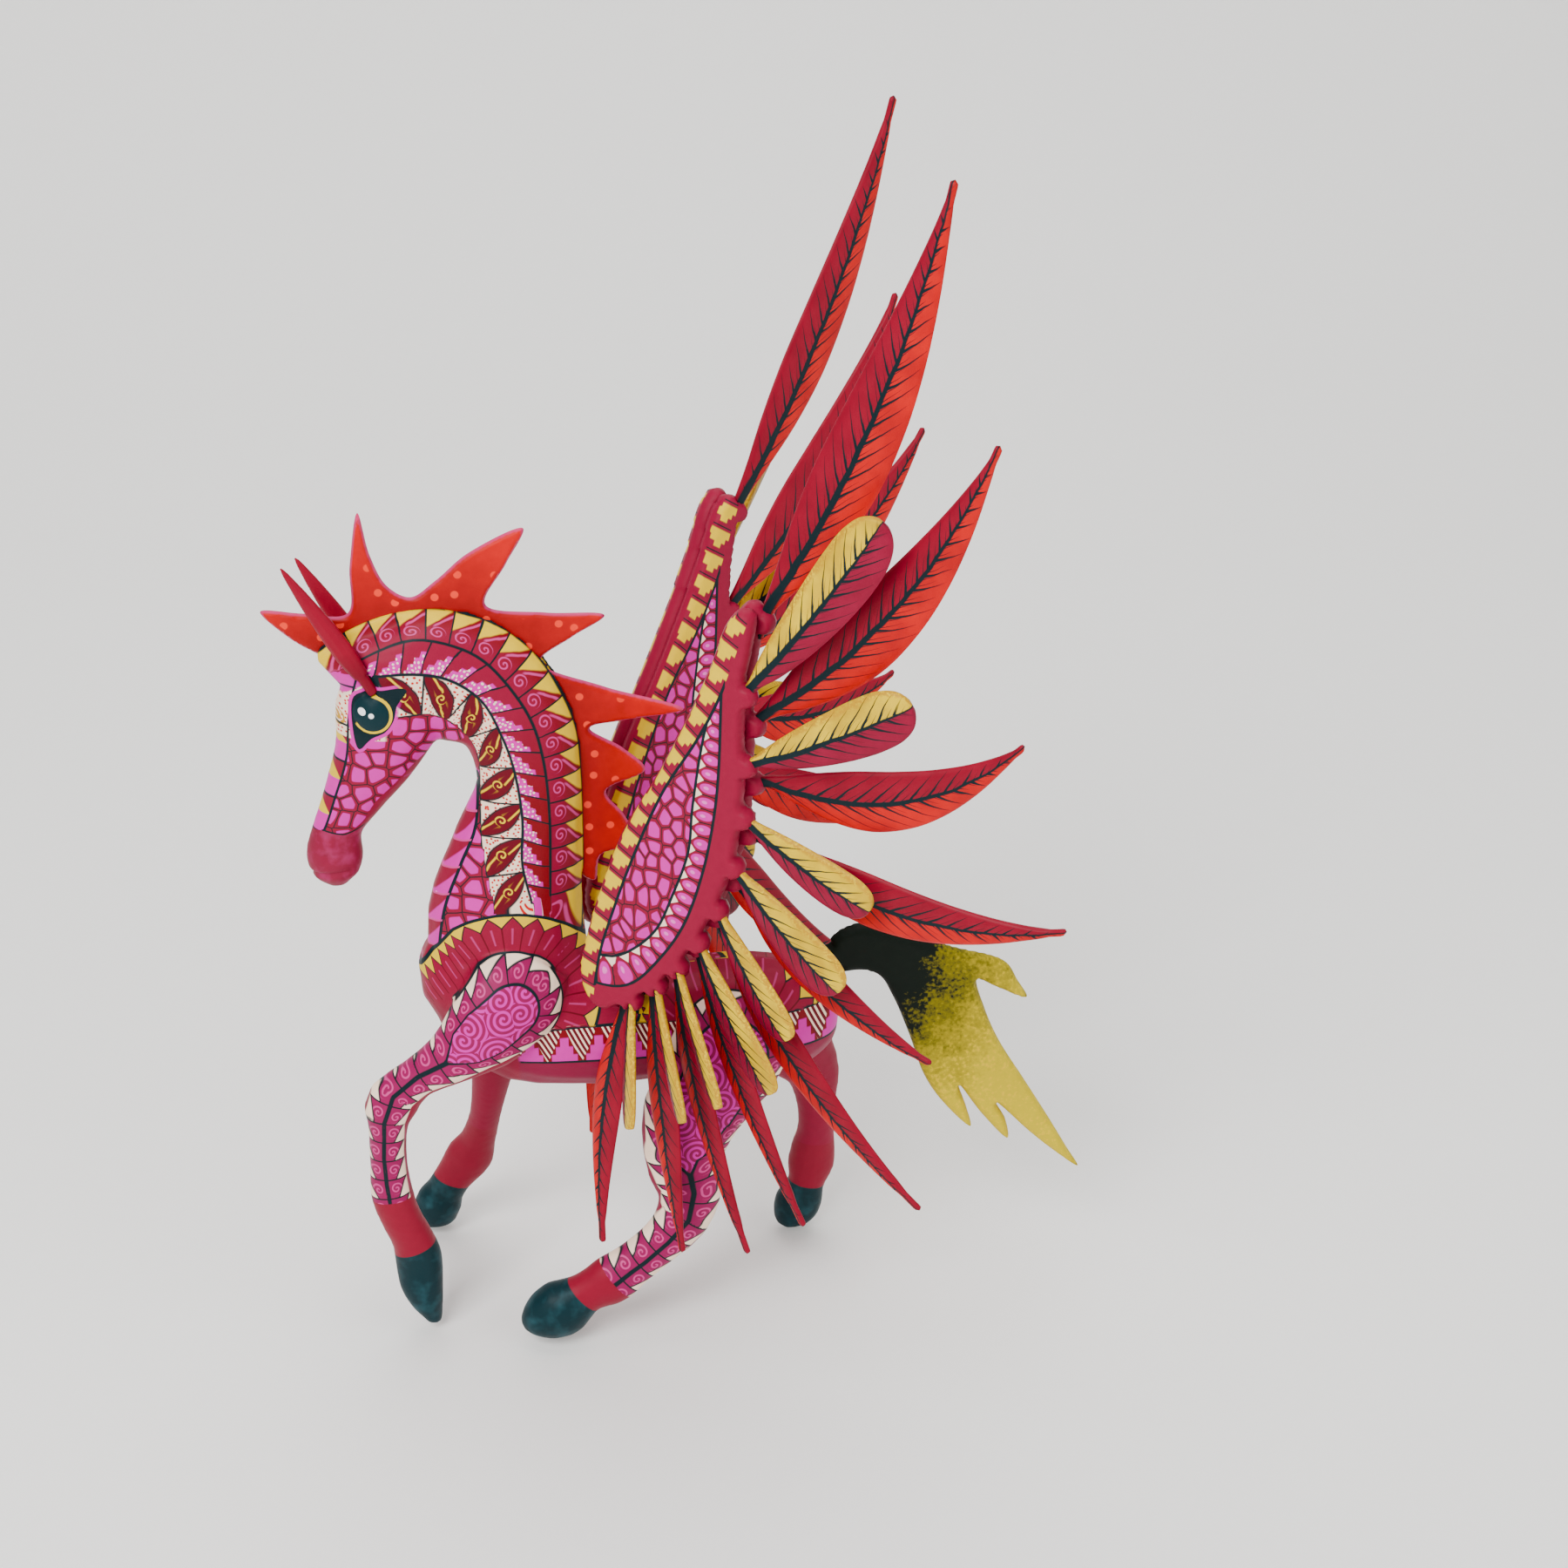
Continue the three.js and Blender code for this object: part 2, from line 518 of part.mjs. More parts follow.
const figure = new THREE.Group();
const wings = ['left', 'right'].map(wing);
figure.add(horse(wings.map(({ socket }) => socket)));
wings.forEach(({ group }) => figure.add(group));
figure.add(piece('mane', mane(), brightRed));
figure.add(piece('tail', geometryOf(joined([board(tailEdge, TAIL_THICKNESS), tailTenon(0)])), oliveYellow));
figure.add(piece('left_ear', geometryOf(ear(-1, 0)), crimson));
figure.add(piece('right_ear', geometryOf(ear(1, 0)), crimson));

// The origin is on the ground, below the middle of the figure.
const bounds = new THREE.Box3().setFromObject(figure);
const middle = bounds.getCenter(new THREE.Vector3());
figure.position.set(-middle.x, -middle.y, -bounds.min.z);

export default figure;
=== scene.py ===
"""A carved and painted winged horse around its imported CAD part.

Lengths in the tables and in every attribute are millimetres in the part's own frame: the horse
faces -X, stands on Z = 0 and has its left side towards -Y. Meshes are made in metres.
"""

import math

import bmesh
import bpy
import numpy as np
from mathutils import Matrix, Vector
from mathutils.geometry import delaunay_2d_cdt

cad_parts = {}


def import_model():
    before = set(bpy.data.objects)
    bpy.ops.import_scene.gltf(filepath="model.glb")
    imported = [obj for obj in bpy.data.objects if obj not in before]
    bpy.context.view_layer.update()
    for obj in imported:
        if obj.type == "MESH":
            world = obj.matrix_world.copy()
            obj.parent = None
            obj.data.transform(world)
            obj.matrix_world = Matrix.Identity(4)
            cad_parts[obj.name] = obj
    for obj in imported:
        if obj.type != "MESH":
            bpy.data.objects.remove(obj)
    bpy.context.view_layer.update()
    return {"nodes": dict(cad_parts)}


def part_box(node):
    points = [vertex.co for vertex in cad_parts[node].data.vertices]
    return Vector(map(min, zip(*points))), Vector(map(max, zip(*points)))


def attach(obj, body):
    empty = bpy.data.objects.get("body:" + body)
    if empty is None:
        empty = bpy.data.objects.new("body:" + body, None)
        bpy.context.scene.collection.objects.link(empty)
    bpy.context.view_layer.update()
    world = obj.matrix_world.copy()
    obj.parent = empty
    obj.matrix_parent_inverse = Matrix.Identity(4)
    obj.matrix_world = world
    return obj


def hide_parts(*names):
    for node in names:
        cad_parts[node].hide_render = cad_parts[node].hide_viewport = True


MM = 0.001

# ---------------------------------------------------------------- camera and light
CAMERA_TARGET = (0.0255, 0.0, 0.1655)
CAMERA_AZIMUTH = math.radians(-6)
CAMERA_ELEVATION = math.radians(26)
CAMERA_DISTANCE = 0.8
CAMERA_LENS = 65.28                # on a 36 mm sensor

# ---------------------------------------------------------------- paint colours
BURGUNDY = (0.245, 0.003, 0.030)
WINE = (0.12, 0.001, 0.009)
CRIMSON = (0.25, 0.001, 0.018)
PLAIN_RED = (0.235, 0.003, 0.022)
BELLY_RED = (0.22, 0.004, 0.038)
MUZZLE_RED = (0.22, 0.007, 0.034)
DEEP_RED = (0.19, 0.001, 0.006)
MANE_RED = (0.30, 0.001, 0.002)
BRIGHT_RED = (0.56, 0.002, 0.002)
ORANGE_RED = (0.86, 0.035, 0.012)
PINK = (0.62, 0.008, 0.35)
SOFT_PINK = (0.56, 0.045, 0.22)
PALE_PINK = (0.90, 0.22, 0.60)
MAGENTA = (0.26, 0.004, 0.075)
YELLOW = (0.74, 0.49, 0.002)
GOLD = (0.50, 0.26, 0.006)
CREAM = (0.95, 0.72, 0.55)
WHITE = (0.95, 0.95, 0.95)
LINE = (0.002, 0.012, 0.016)
HOOF = (0.002, 0.020, 0.026)
HOOF_SHEEN = (0.02, 0.09, 0.11)
OLIVE = (0.54, 0.41, 0.003)
DARK_OLIVE = (0.14, 0.12, 0.003)
BLACK = (0.002, 0.006, 0.003)
COPAL = (0.68, 0.51, 0.27)

# ---------------------------------------------------------------- painted tiles
# The length of one tile along each band.
CHEST_TILE = 8.2
FACE_TILE = 11
OUTER_TILE = 7.1
MIDDLE_TILE = 6.9
INNER_TILE = 10.6
BARREL_TILE = 9.8
RING_TILE = 3.3
PETAL_TILE = 6.6
OVAL_TILE = 4.3
HAND_TILE = 7.4
# Heights of the side band's edges and of the neck's foot, and the widths of painted strips.
BARREL_LOW = 88.5
BARREL_HIGH = 99.5
NECK_FOOT = 100
CHEST_WIDTH = 9
FACE_WIDTH = 5.5
RING_WIDTH = 11
HAND_HALF = 3.5
# The size of one cell in each field of scales and of swirls.
NECK_SCALE = 5.4
CHEEK_SCALE = 4.9
WING_SCALE = 4.6
SWIRL_SIZE = 7.5
SWIRL_TURN = 1.75
PAINT_SPECULAR = 0.12

# ---------------------------------------------------------------- the carved horse
LEGS = ("left_foreleg", "right_foreleg", "left_hind_leg", "right_hind_leg")
CARVING_VOXEL = 0.9
CARVING_SMOOTHING = 24
FILLER_DEPTH = 6
FILLER_HALF = 2.2

# Lines seen from the side, as (x, z).
NECK_TOP = [
    (-101, 212.8), (-93, 218), (-81.5, 222.3), (-68.5, 223.3), (-57, 219), (-46.5, 210.3),
    (-37.7, 195.4), (-32.2, 178), (-31.2, 160), (-31.6, 142),
]
CREST = [
    (-106, 210.5), (-101, 213), (-93, 218.3), (-81.5, 222.7), (-72, 223.7), (-64.2, 223),
    (-52.5, 218.5), (-42.9, 210.1), (-36.4, 199.2), (-32.3, 187.7), (-31.2, 175.4), (-31, 160),
    (-31.4, 142), (-32.5, 120),
]
WITHERS_HEIGHT = 128
WITHERS_FRONT = -32
# The inner edges of the three painted neck bands, from the poll down to the shoulder.
NECK_BANDS = [
    [(-90.2, 211.1), (-75.4, 216.9), (-64.4, 214.9), (-56.7, 210.4), (-48.9, 200.6), (-44.3, 191.6),
     (-41.7, 179.8), (-40.7, 162.3), (-41.5, 139.2)],
    [(-85.5, 207.5), (-75.9, 207.9), (-66.5, 206), (-57.9, 199.5), (-52.8, 188.4), (-49.9, 178.4),
     (-48.1, 163.1), (-48.7, 149.8), (-46.5, 138.4)],
    [(-82.2, 195.4), (-73.4, 195.4), (-67.2, 193), (-62.5, 187.8), (-59.9, 181.3), (-59.9, 166),
     (-60, 155.6), (-57.5, 136.5)],
]
CHEEK = [
    (-92.5, 195), (-93.4, 190), (-95.1, 182.8), (-99, 170.6), (-102.4, 161), (-97.4, 159.4),
    (-92.5, 162), (-88.5, 168.5), (-83, 174), (-77, 180), (-70, 184.5), (-63, 187),
    (-67.2, 193), (-73.4, 195.4), (-82.2, 195.4),
]
EYE_PATCH = [
    (-92, 201), (-87, 203.2), (-77.5, 203.5), (-80.5, 199), (-81.5, 195), (-84, 191.5),
    (-88, 189.5), (-91.5, 186), (-92.8, 192),
]
EYE = (-87.4, 196.6)
EYE_RADIUS = 5.2
# Swellings and hollows carved on both sides, as centre, radius and height.
RELIEF = [
    ((EYE[0], 9, EYE[1]), 5.5, 1.1),      # eyeball
    ((-84, 9, 203.5), 4.5, 0.9),          # brow
    ((-102.5, 5, 152), 1.7, -1.5),        # nostril
    ((-101, 5, 154.5), 2.6, 0.7),         # nostril's upper rim
    ((-80, 9, 186), 8, 0.7),              # cheek
    ((-60, 20, 108), 16, 1.2),            # shoulder
    ((-35, 17, 104), 9, -0.8),            # hollow behind the shoulder
    ((12, 18, 84), 16, 1.0),              # thigh
]
FACE_LINE = [(-91, 206), (-93.6, 196), (-95.1, 182.8), (-99, 170.6), (-102.4, 161), (-105, 156)]
MUZZLE_LINE = [(-112, 161), (-106.5, 159.2), (-102.9, 160.1), (-97.4, 158.9), (-93.1, 160.3),
               (-86, 163)]
CHEST_LINE = [(-59.9, 175), (-61.1, 160.4), (-66.1, 148), (-71.1, 134.8), (-73.8, 116.2), (-74, 104)]

# Each limb: the painted line down its middle as (x, z), the distance of that line from the
# horse's own middle at each point, the edges of its scroll field and of its petals either side
# as (distance along, half width), and where its plain pastern and its hoof begin.
LIMBS = {
    "left_foreleg": {
        "line": [(-53.5, 109.5), (-72.7, 94.6), (-80.8, 90), (-88.2, 83.6), (-91.2, 74.9),
                 (-92, 62.7), (-91.8, 53.5), (-91, 44.8), (-88.5, 36), (-85, 25), (-83, 0)],
        "y": [15, 17.5, 17.5, 17.5, 17.5, 17, 16.8, 16.4, 15.4, 13.2, 14],
        "field": [(0, 7.6), (10, 7.4), (17, 5.4), (24, 0.3), (200, 0.3)],
        "petals": [(0, 14.4), (8, 12), (16, 9.6), (24, 8), (33, 6.2), (41, 6), (50, 5.8), (62, 5.6),
                   (81, 5.8), (200, 6)],
        "pastern": 81, "hoof": 102,
    },
    "right_foreleg": {
        "line": [(-53.5, 106), (-56.5, 83), (-59.5, 70), (-61.5, 57), (-63.5, 44.5), (-66, 34),
                 (-69.1, 26), (-74.5, 17.5), (-79.8, 4)],
        "y": [14, 16.5, 20, 23.5, 27.5, 31, 33.5, 35, 37],
        "field": [(0, 7.6), (10, 7.4), (17, 5.4), (24, 0.3), (200, 0.3)],
        "petals": [(0, 14.4), (12, 12), (24, 9), (36, 7.2), (50, 5.6), (62, 5), (80, 6), (200, 6)],
        "pastern": 66, "hoof": 92.5,
    },
    "left_hind_leg": {
        "line": [(8, 88), (-2, 72), (-5.5, 60), (-3.6, 48.5), (-5.4, 39.5), (-11.5, 32.4),
                 (-18.5, 26.2), (-28.2, 19.2), (-36, 14), (-46, 5)],
        "y": [13, 17.5, 19.5, 21.5, 22.8, 24, 24.5, 25, 25, 24.5],
        "field": [(0, 11), (19, 9.6), (30, 5), (37, 0.3), (200, 0.3)],
        "petals": [(0, 18), (19, 15.5), (31, 12), (42, 9.6), (52, 8), (61, 6.6), (71, 6.8), (83, 8),
                   (200, 8)],
        "pastern": 82, "hoof": 93,
    },
    "right_hind_leg": {
        "line": [(25, 88), (31, 70), (36, 59.5), (37.5, 48), (37.7, 38), (37, 29.5), (36.5, 22.5),
                 (35, 15), (32, 4)],
        "y": [12.5, 16.5, 19, 20.5, 22, 23.5, 24.5, 25, 25.5],
        "field": [(0, 10), (14, 8), (24, 4), (31, 0.3), (200, 0.3)],
        "petals": [(0, 17), (19, 12), (31, 8.6), (42, 6.4), (52, 5.8), (61, 6.8), (200, 7)],
        "pastern": 58, "hoof": 75,
    },
}

TAIL_ROOT = (38, 110)

# ---------------------------------------------------------------- wings
WING_ROOT = (-32.5, 18.5, 115)
WING_FLARE = math.radians(28)
BOARD_THICKNESS = 12
# Painted lines on a wing board, as (trailing, up) from the wing's root.
STRIP_LINE = [(60, 141), (52, 119), (44, 97.1), (37.7, 84.5), (27.8, 67.9), (18.3, 46),
              (11.8, 28), (7.5, 14), (4.5, -6), (3, -30)]
FIELD_LINE = [(56, 140), (46.5, 106), (41, 91), (36.4, 65.4), (34.9, 51.3), (30, 37.1),
              (24.9, 25.5), (17.6, 17.8), (11.4, 14.3), (0, 14.5)]
CELLS_LINE = [(48, 140), (45.5, 110), (44, 76.8), (42.6, 63.7), (39.1, 46.1), (33, 28.3), (25.7, 16.5),
              (17.4, 7.2), (11.2, 4.8), (0, 5.6)]

FEATHER_HALF_THICKNESS = 1.1
TIP_RADIUS = 1.1
FEATHER_ROWS = 72
FEATHER_COLUMNS = 14
FEATHERS = [
    (side, kind, number)
    for side in ("left", "right")
    for kind, count in (("long", 10), ("round", 9))
    for number in range(1, count + 1)
]


# ================================================================ arrays and lines
def mesh_arrays(obj):
    """The object's vertices in millimetres and its triangles, with doubled vertices merged."""
    mesh = bmesh.new()
    mesh.from_mesh(obj.data)
    bmesh.ops.remove_doubles(mesh, verts=mesh.verts, dist=1e-7)
    bmesh.ops.triangulate(mesh, faces=mesh.faces)
    mesh.verts.ensure_lookup_table()
    points = np.array([v.co for v in mesh.verts]) / MM
    triangles = np.array([[v.index for v in f.verts] for f in mesh.faces])
    mesh.free()
    return points, triangles


def along_line(points, line):
    """Distance along the line, signed distance from it (positive on its left) and the share
    of the way along the nearest segment, with that segment's number."""
    line = np.asarray(line, float)
    starts, runs = line[:-1], np.diff(line, axis=0)
    lengths = np.hypot(*runs.T)
    before = np.concatenate([[0], np.cumsum(lengths)[:-1]])
    best = np.full(len(points), np.inf)
    along, sign, segment, share = (np.zeros(len(points)) for _ in range(4))
    for i, (start, run, length) in enumerate(zip(starts, runs, lengths)):
        offset = points - start
        t = np.clip(offset @ run / length ** 2, 0, 1)
        away = offset - t[:, None] * run
        distance = np.hypot(*away.T)
        nearer = distance < best
        best = np.where(nearer, distance, best)
        along = np.where(nearer, before[i] + t * length, along)
        side = np.sign(run[0] * offset[:, 1] - run[1] * offset[:, 0])
        sign = np.where(nearer, side, sign)
        segment = np.where(nearer, i, segment)
        share = np.where(nearer, t, share)
    return along, best * sign, segment.astype(int), share


def along_curve(points, line):
    """Distance along and signed distance from the smooth curve through the line's points."""
    return along_line(points, smooth_curve(line, 2.5, closed=False))[:2]


def depth_inside(points, outline):
    """Distance from the outline, positive inside it."""
    closed = np.vstack([outline, outline[:1]])
    distance = np.abs(along_line(points, closed)[1])
    inside = np.zeros(len(points), bool)
    x, y = points.T
    for (x0, y0), (x1, y1) in zip(closed[:-1], closed[1:]):
        if y0 != y1:
            crosses = (y0 > y) != (y1 > y)
            inside ^= crosses & (x < (x1 - x0) * (y - y0) / (y1 - y0) + x0)
    return np.where(inside, distance, -distance)


def smooth_curve(points, step, closed=True):
    """Points about a step apart on a smooth curve through the given ones."""
    points = np.asarray(points, float)
    count = len(points)
    out = []
    for i in range(count if closed else count - 1):
        if closed:
            p = [points[(i + k - 1) % count] for k in range(4)]
        else:
            p = [points[min(max(i + k - 1, 0), count - 1)] for k in range(4)]
        gaps = [max(np.linalg.norm(p[k + 1] - p[k]), 1e-6) ** 0.5 for k in range(3)]
        m1 = p[2] - p[1] + gaps[1] * ((p[1] - p[0]) / gaps[0] - (p[2] - p[0]) / (gaps[0] + gaps[1]))
        m2 = p[2] - p[1] + gaps[1] * ((p[3] - p[2]) / gaps[2] - (p[3] - p[1]) / (gaps[1] + gaps[2]))
        pieces = max(1, int(round(np.linalg.norm(p[2] - p[1]) / step)))
        for t in np.arange(pieces) / pieces:
            h = (2 * t ** 3 - 3 * t ** 2 + 1, t ** 3 - 2 * t ** 2 + t,
                 -2 * t ** 3 + 3 * t ** 2, t ** 3 - t ** 2)
            out.append(h[0] * p[1] + h[1] * m1 + h[2] * p[2] + h[3] * m2)
    if not closed:
        out.append(points[-1])
    return np.array(out)


def new_object(name, points, faces, attributes, material):
    """A smooth-shaded mesh object from points in millimetres, with one float per vertex for
    each attribute."""
    mesh = bpy.data.meshes.new(name)
    mesh.from_pydata((np.asarray(points) * MM).tolist(), [], [list(map(int, f)) for f in faces])
    mesh.validate()
    for key, values in attributes.items():
        layer = mesh.attributes.new(key, "FLOAT", "POINT")
        layer.data.foreach_set("value", np.asarray(values, np.float32))
    mesh.shade_smooth()
    mesh.materials.append(material)
    obj = bpy.data.objects.new(name, mesh)
    bpy.context.scene.collection.objects.link(obj)
    return obj


# ================================================================ values in a node tree
class Value:
    """A number worked out in a material's nodes, for use in ordinary arithmetic."""

    def __init__(self, tree, source):
        self.tree = tree
        self.source = source

    def feed(self, socket):
        if isinstance(self.source, bpy.types.NodeSocket):
            self.tree.links.new(self.source, socket)
        else:
            socket.default_value = self.source

    def math(self, operation, *others, clamp=False):
        node = self.tree.nodes.new("ShaderNodeMath")
        node.operation = operation
        node.use_clamp = clamp
        for socket, operand in zip(node.inputs, (self, *others)):
            if isinstance(operand, Value):
                operand.feed(socket)
            else:
                socket.default_value = operand
        return Value(self.tree, node.outputs[0])

    def __add__(self, other):
        return self.math("ADD", other)

    def __sub__(self, other):
        return self.math("SUBTRACT", other)

    def __rsub__(self, other):
        return Value(self.tree, other).math("SUBTRACT", self)

    def __mul__(self, other):
        return self.math("MULTIPLY", other)

    def __truediv__(self, other):
        return self.math("DIVIDE", other)

    __radd__ = __add__
    __rmul__ = __mul__

    def __abs__(self):
        return self.math("ABSOLUTE")

    def fract(self):
        return self.math("FRACT")

    def floor(self):
        return self.math("FLOOR")

    def most(self, other):
        return self.math("MAXIMUM", other)

    def above(self, limit, soft=0.1):
        """1 where this is over the limit, 0 where it is under, across a soft edge."""
        if isinstance(limit, Value):
            return (self - limit).math("MULTIPLY_ADD", 1 / soft, 0.5, clamp=True)
        return self.math("MULTIPLY_ADD", 1 / soft, 0.5 - limit / soft, clamp=True)

    def below(self, limit, soft=0.1):
        if isinstance(limit, Value):
            return (limit - self).math("MULTIPLY_ADD", 1 / soft, 0.5, clamp=True)
        return self.math("MULTIPLY_ADD", -1 / soft, 0.5 + limit / soft, clamp=True)

    def between(self, low, high, soft=0.1):
        return self.above(low, soft) * self.below(high, soft)


class Paint:
    """One painted finish: a base colour, layers over it, then brush marks and varnish."""

    def __init__(self, name, base):
        self.material = bpy.data.materials.new(name)
        self.material.use_nodes = True
        self.tree = self.material.node_tree
        self.shader = self.tree.nodes["Principled BSDF"]
        self.colour = (*base, 1)
        self.place = self.tree.nodes.new("ShaderNodeVectorMath")
        self.place.operation = "SCALE"
        self.place.inputs["Scale"].default_value = 1 / MM
        coordinates = self.tree.nodes.new("ShaderNodeTexCoord")
        self.tree.links.new(coordinates.outputs["Object"], self.place.inputs[0])
        self.attributes = {}

    def attribute(self, name):
        if name not in self.attributes:
            node = self.tree.nodes.new("ShaderNodeAttribute")
            node.attribute_name = name
            self.attributes[name] = Value(self.tree, node.outputs["Fac"])
        return self.attributes[name]

    def position(self):
        """x, y and z in millimetres."""
        node = self.tree.nodes.new("ShaderNodeSeparateXYZ")
        self.tree.links.new(self.place.outputs[0], node.inputs[0])
        return [Value(self.tree, out) for out in node.outputs]

    def combine(self, *values):
        node = self.tree.nodes.new("ShaderNodeCombineXYZ")
        for socket, value in zip(node.inputs, values):
            if isinstance(value, Value):
                value.feed(socket)
            else:
                socket.default_value = value
        return node.outputs[0]

    def noise(self, size, detail=2, stretch=None, vector=None):
        """Noise from 0 to 1 with features of about the given size in millimetres."""
        node = self.tree.nodes.new("ShaderNodeTexNoise")
        node.inputs["Scale"].default_value = 1 / size
        node.inputs["Detail"].default_value = detail
        source = vector or self.place.outputs[0]
        if stretch:
            scale = self.tree.nodes.new("ShaderNodeVectorMath")
            scale.operation = "MULTIPLY"
            scale.inputs[1].default_value = stretch
            self.tree.links.new(source, scale.inputs[0])
            source = scale.outputs[0]
        self.tree.links.new(source, node.inputs["Vector"])
        return Value(self.tree, node.outputs["Fac"])

    def cells(self, vector, size, feature="F1", randomness=1.0):
        """A Voronoi texture's nodes of about the given cell size."""
        node = self.tree.nodes.new("ShaderNodeTexVoronoi")
        node.voronoi_dimensions = "2D"
        node.feature = feature
        node.inputs["Scale"].default_value = 1 / size
        node.inputs["Randomness"].default_value = randomness
        self.tree.links.new(vector, node.inputs["Vector"])
        return node

    def random(self, value, seed=0.0):
        node = self.tree.nodes.new("ShaderNodeTexWhiteNoise")
        node.noise_dimensions = "2D"
        self.tree.links.new(self.combine(value, seed), node.inputs["Vector"])
        return Value(self.tree, node.outputs["Value"])

    def mixed(self, under, over, amount):
        """Two colours, each a socket or linear red, green and blue, mixed by an amount."""
        node = self.tree.nodes.new("ShaderNodeMix")
        node.data_type = "RGBA"
        for socket, colour in ((node.inputs[6], under), (node.inputs[7], over)):
            if isinstance(colour, bpy.types.NodeSocket):
                self.tree.links.new(colour, socket)
            else:
                socket.default_value = (*colour, 1)[:4]
        amount.feed(node.inputs[0])
        return node.outputs[2]

    def lay(self, colour, mask):
        self.colour = self.mixed(self.colour, colour, mask)

    def finish(self, roughness=0.5, wear=0.3, relief=0.12, grain=(1, 1, 1)):
        """Brush strokes, uneven varnish and fine grain over everything laid so far."""
        tree = self.tree
        strokes = self.noise(2.2, 4, grain)
        clouds = self.noise(14, 2)
        shade = (strokes * 0.6 + clouds * 0.4).math("MULTIPLY_ADD", wear, 1 - wear * 0.5)
        grey = self.combine(shade, shade, shade)
        multiply = tree.nodes.new("ShaderNodeMix")
        multiply.data_type = "RGBA"
        multiply.blend_type = "MULTIPLY"
        multiply.inputs[0].default_value = 1
        if isinstance(self.colour, bpy.types.NodeSocket):
            tree.links.new(self.colour, multiply.inputs[6])
        else:
            multiply.inputs[6].default_value = self.colour
        tree.links.new(grey, multiply.inputs[7])
        tree.links.new(multiply.outputs[2], self.shader.inputs["Base Color"])
        rough = clouds.math("MULTIPLY_ADD", 0.22, roughness - 0.11)
        rough.feed(self.shader.inputs["Roughness"])
        bump = tree.nodes.new("ShaderNodeBump")
        bump.inputs["Strength"].default_value = 0.6
        bump.inputs["Distance"].default_value = relief * MM
        (strokes + self.noise(0.5, 2) * 0.5).feed(bump.inputs["Height"])
        tree.links.new(bump.outputs[0], self.shader.inputs["Normal"])
        self.shader.inputs["Specular IOR Level"].default_value = PAINT_SPECULAR
        return self.material


# ================================================================ painted motifs
# Each motif works on a tile: t runs from 0 to 1 along the band and v from 0 to 1 across it.
def spiral(across, along, turn):
    """Distance from a spiral's line, in shares of the gap between its turns."""
    radius = (across * across + along * along).math("SQRT")
    angle = along.math("ARCTAN2", across)
    return radius, abs((radius / turn - angle * (1 / math.tau)).fract() - 0.5)


def curl(paint, colour, t, v, centre, size, mask, width=0.17):
    """A thin line curled up in the tile, once and a half round."""
    radius, gap = spiral((v - centre[0]) / size, (t - centre[1]) / size, 0.62)
    paint.lay(colour, gap.below(width, 0.1) * radius.below(0.98, 0.1) * mask)


def specks(paint, vector, spacing, radius, soft=0.08, randomness=0.8):
    """Small round dots, their radius and soft edge in shares of the spacing."""
    node = paint.cells(vector, spacing, "F1", randomness)
    return Value(paint.tree, node.outputs["Distance"]).below(radius, soft)


def scales(paint, vector, size, mask, randomness=0.75):
    """Rounded pink cells with a burgundy margin and a fine dark line round each."""
    edge = Value(paint.tree, paint.cells(vector, size, "DISTANCE_TO_EDGE", randomness).outputs["Distance"])
    reach = Value(paint.tree, paint.cells(vector, size, "F1", randomness).outputs["Distance"])
    roundness = edge - reach * reach * 0.36
    paint.lay(BURGUNDY, mask)
    paint.lay(LINE, edge.below(0.03, 0.03) * mask)
    paint.lay(PINK, roundness.above(0.09, 0.05) * mask)


def swirls(paint, vector, size, mask):
    """Curling burgundy lines over pink, one curl to a cell."""
    node = paint.cells(vector, size, "F1", 0.7)
    offset = paint.tree.nodes.new("ShaderNodeVectorMath")
    offset.operation = "SUBTRACT"
    paint.tree.links.new(vector, offset.inputs[0])
    paint.tree.links.new(node.outputs["Position"], offset.inputs[1])
    parts = paint.tree.nodes.new("ShaderNodeSeparateXYZ")
    paint.tree.links.new(offset.outputs[0], parts.inputs[0])
    x, y = (Value(paint.tree, out) for out in list(parts.outputs)[:2])
    gap = spiral(x, y, SWIRL_TURN)[1]
    paint.lay(MAGENTA, mask)
    paint.lay(PINK, gap.above(0.27, 0.1) * mask)


# ================================================================ finishes
def body_paint():
    paint = Paint("painted_body", BURGUNDY)
    x, y, z = paint.position()
    side = paint.combine(x, z, 0)
    chest_and_head(paint, side, x, z)
    neck_bands(paint, x, z)
    side_band(paint, x, z)
    limb_paint(paint, side)
    eye_paint(paint, x, z)
    return paint.finish(roughness=0.46, wear=0.26)


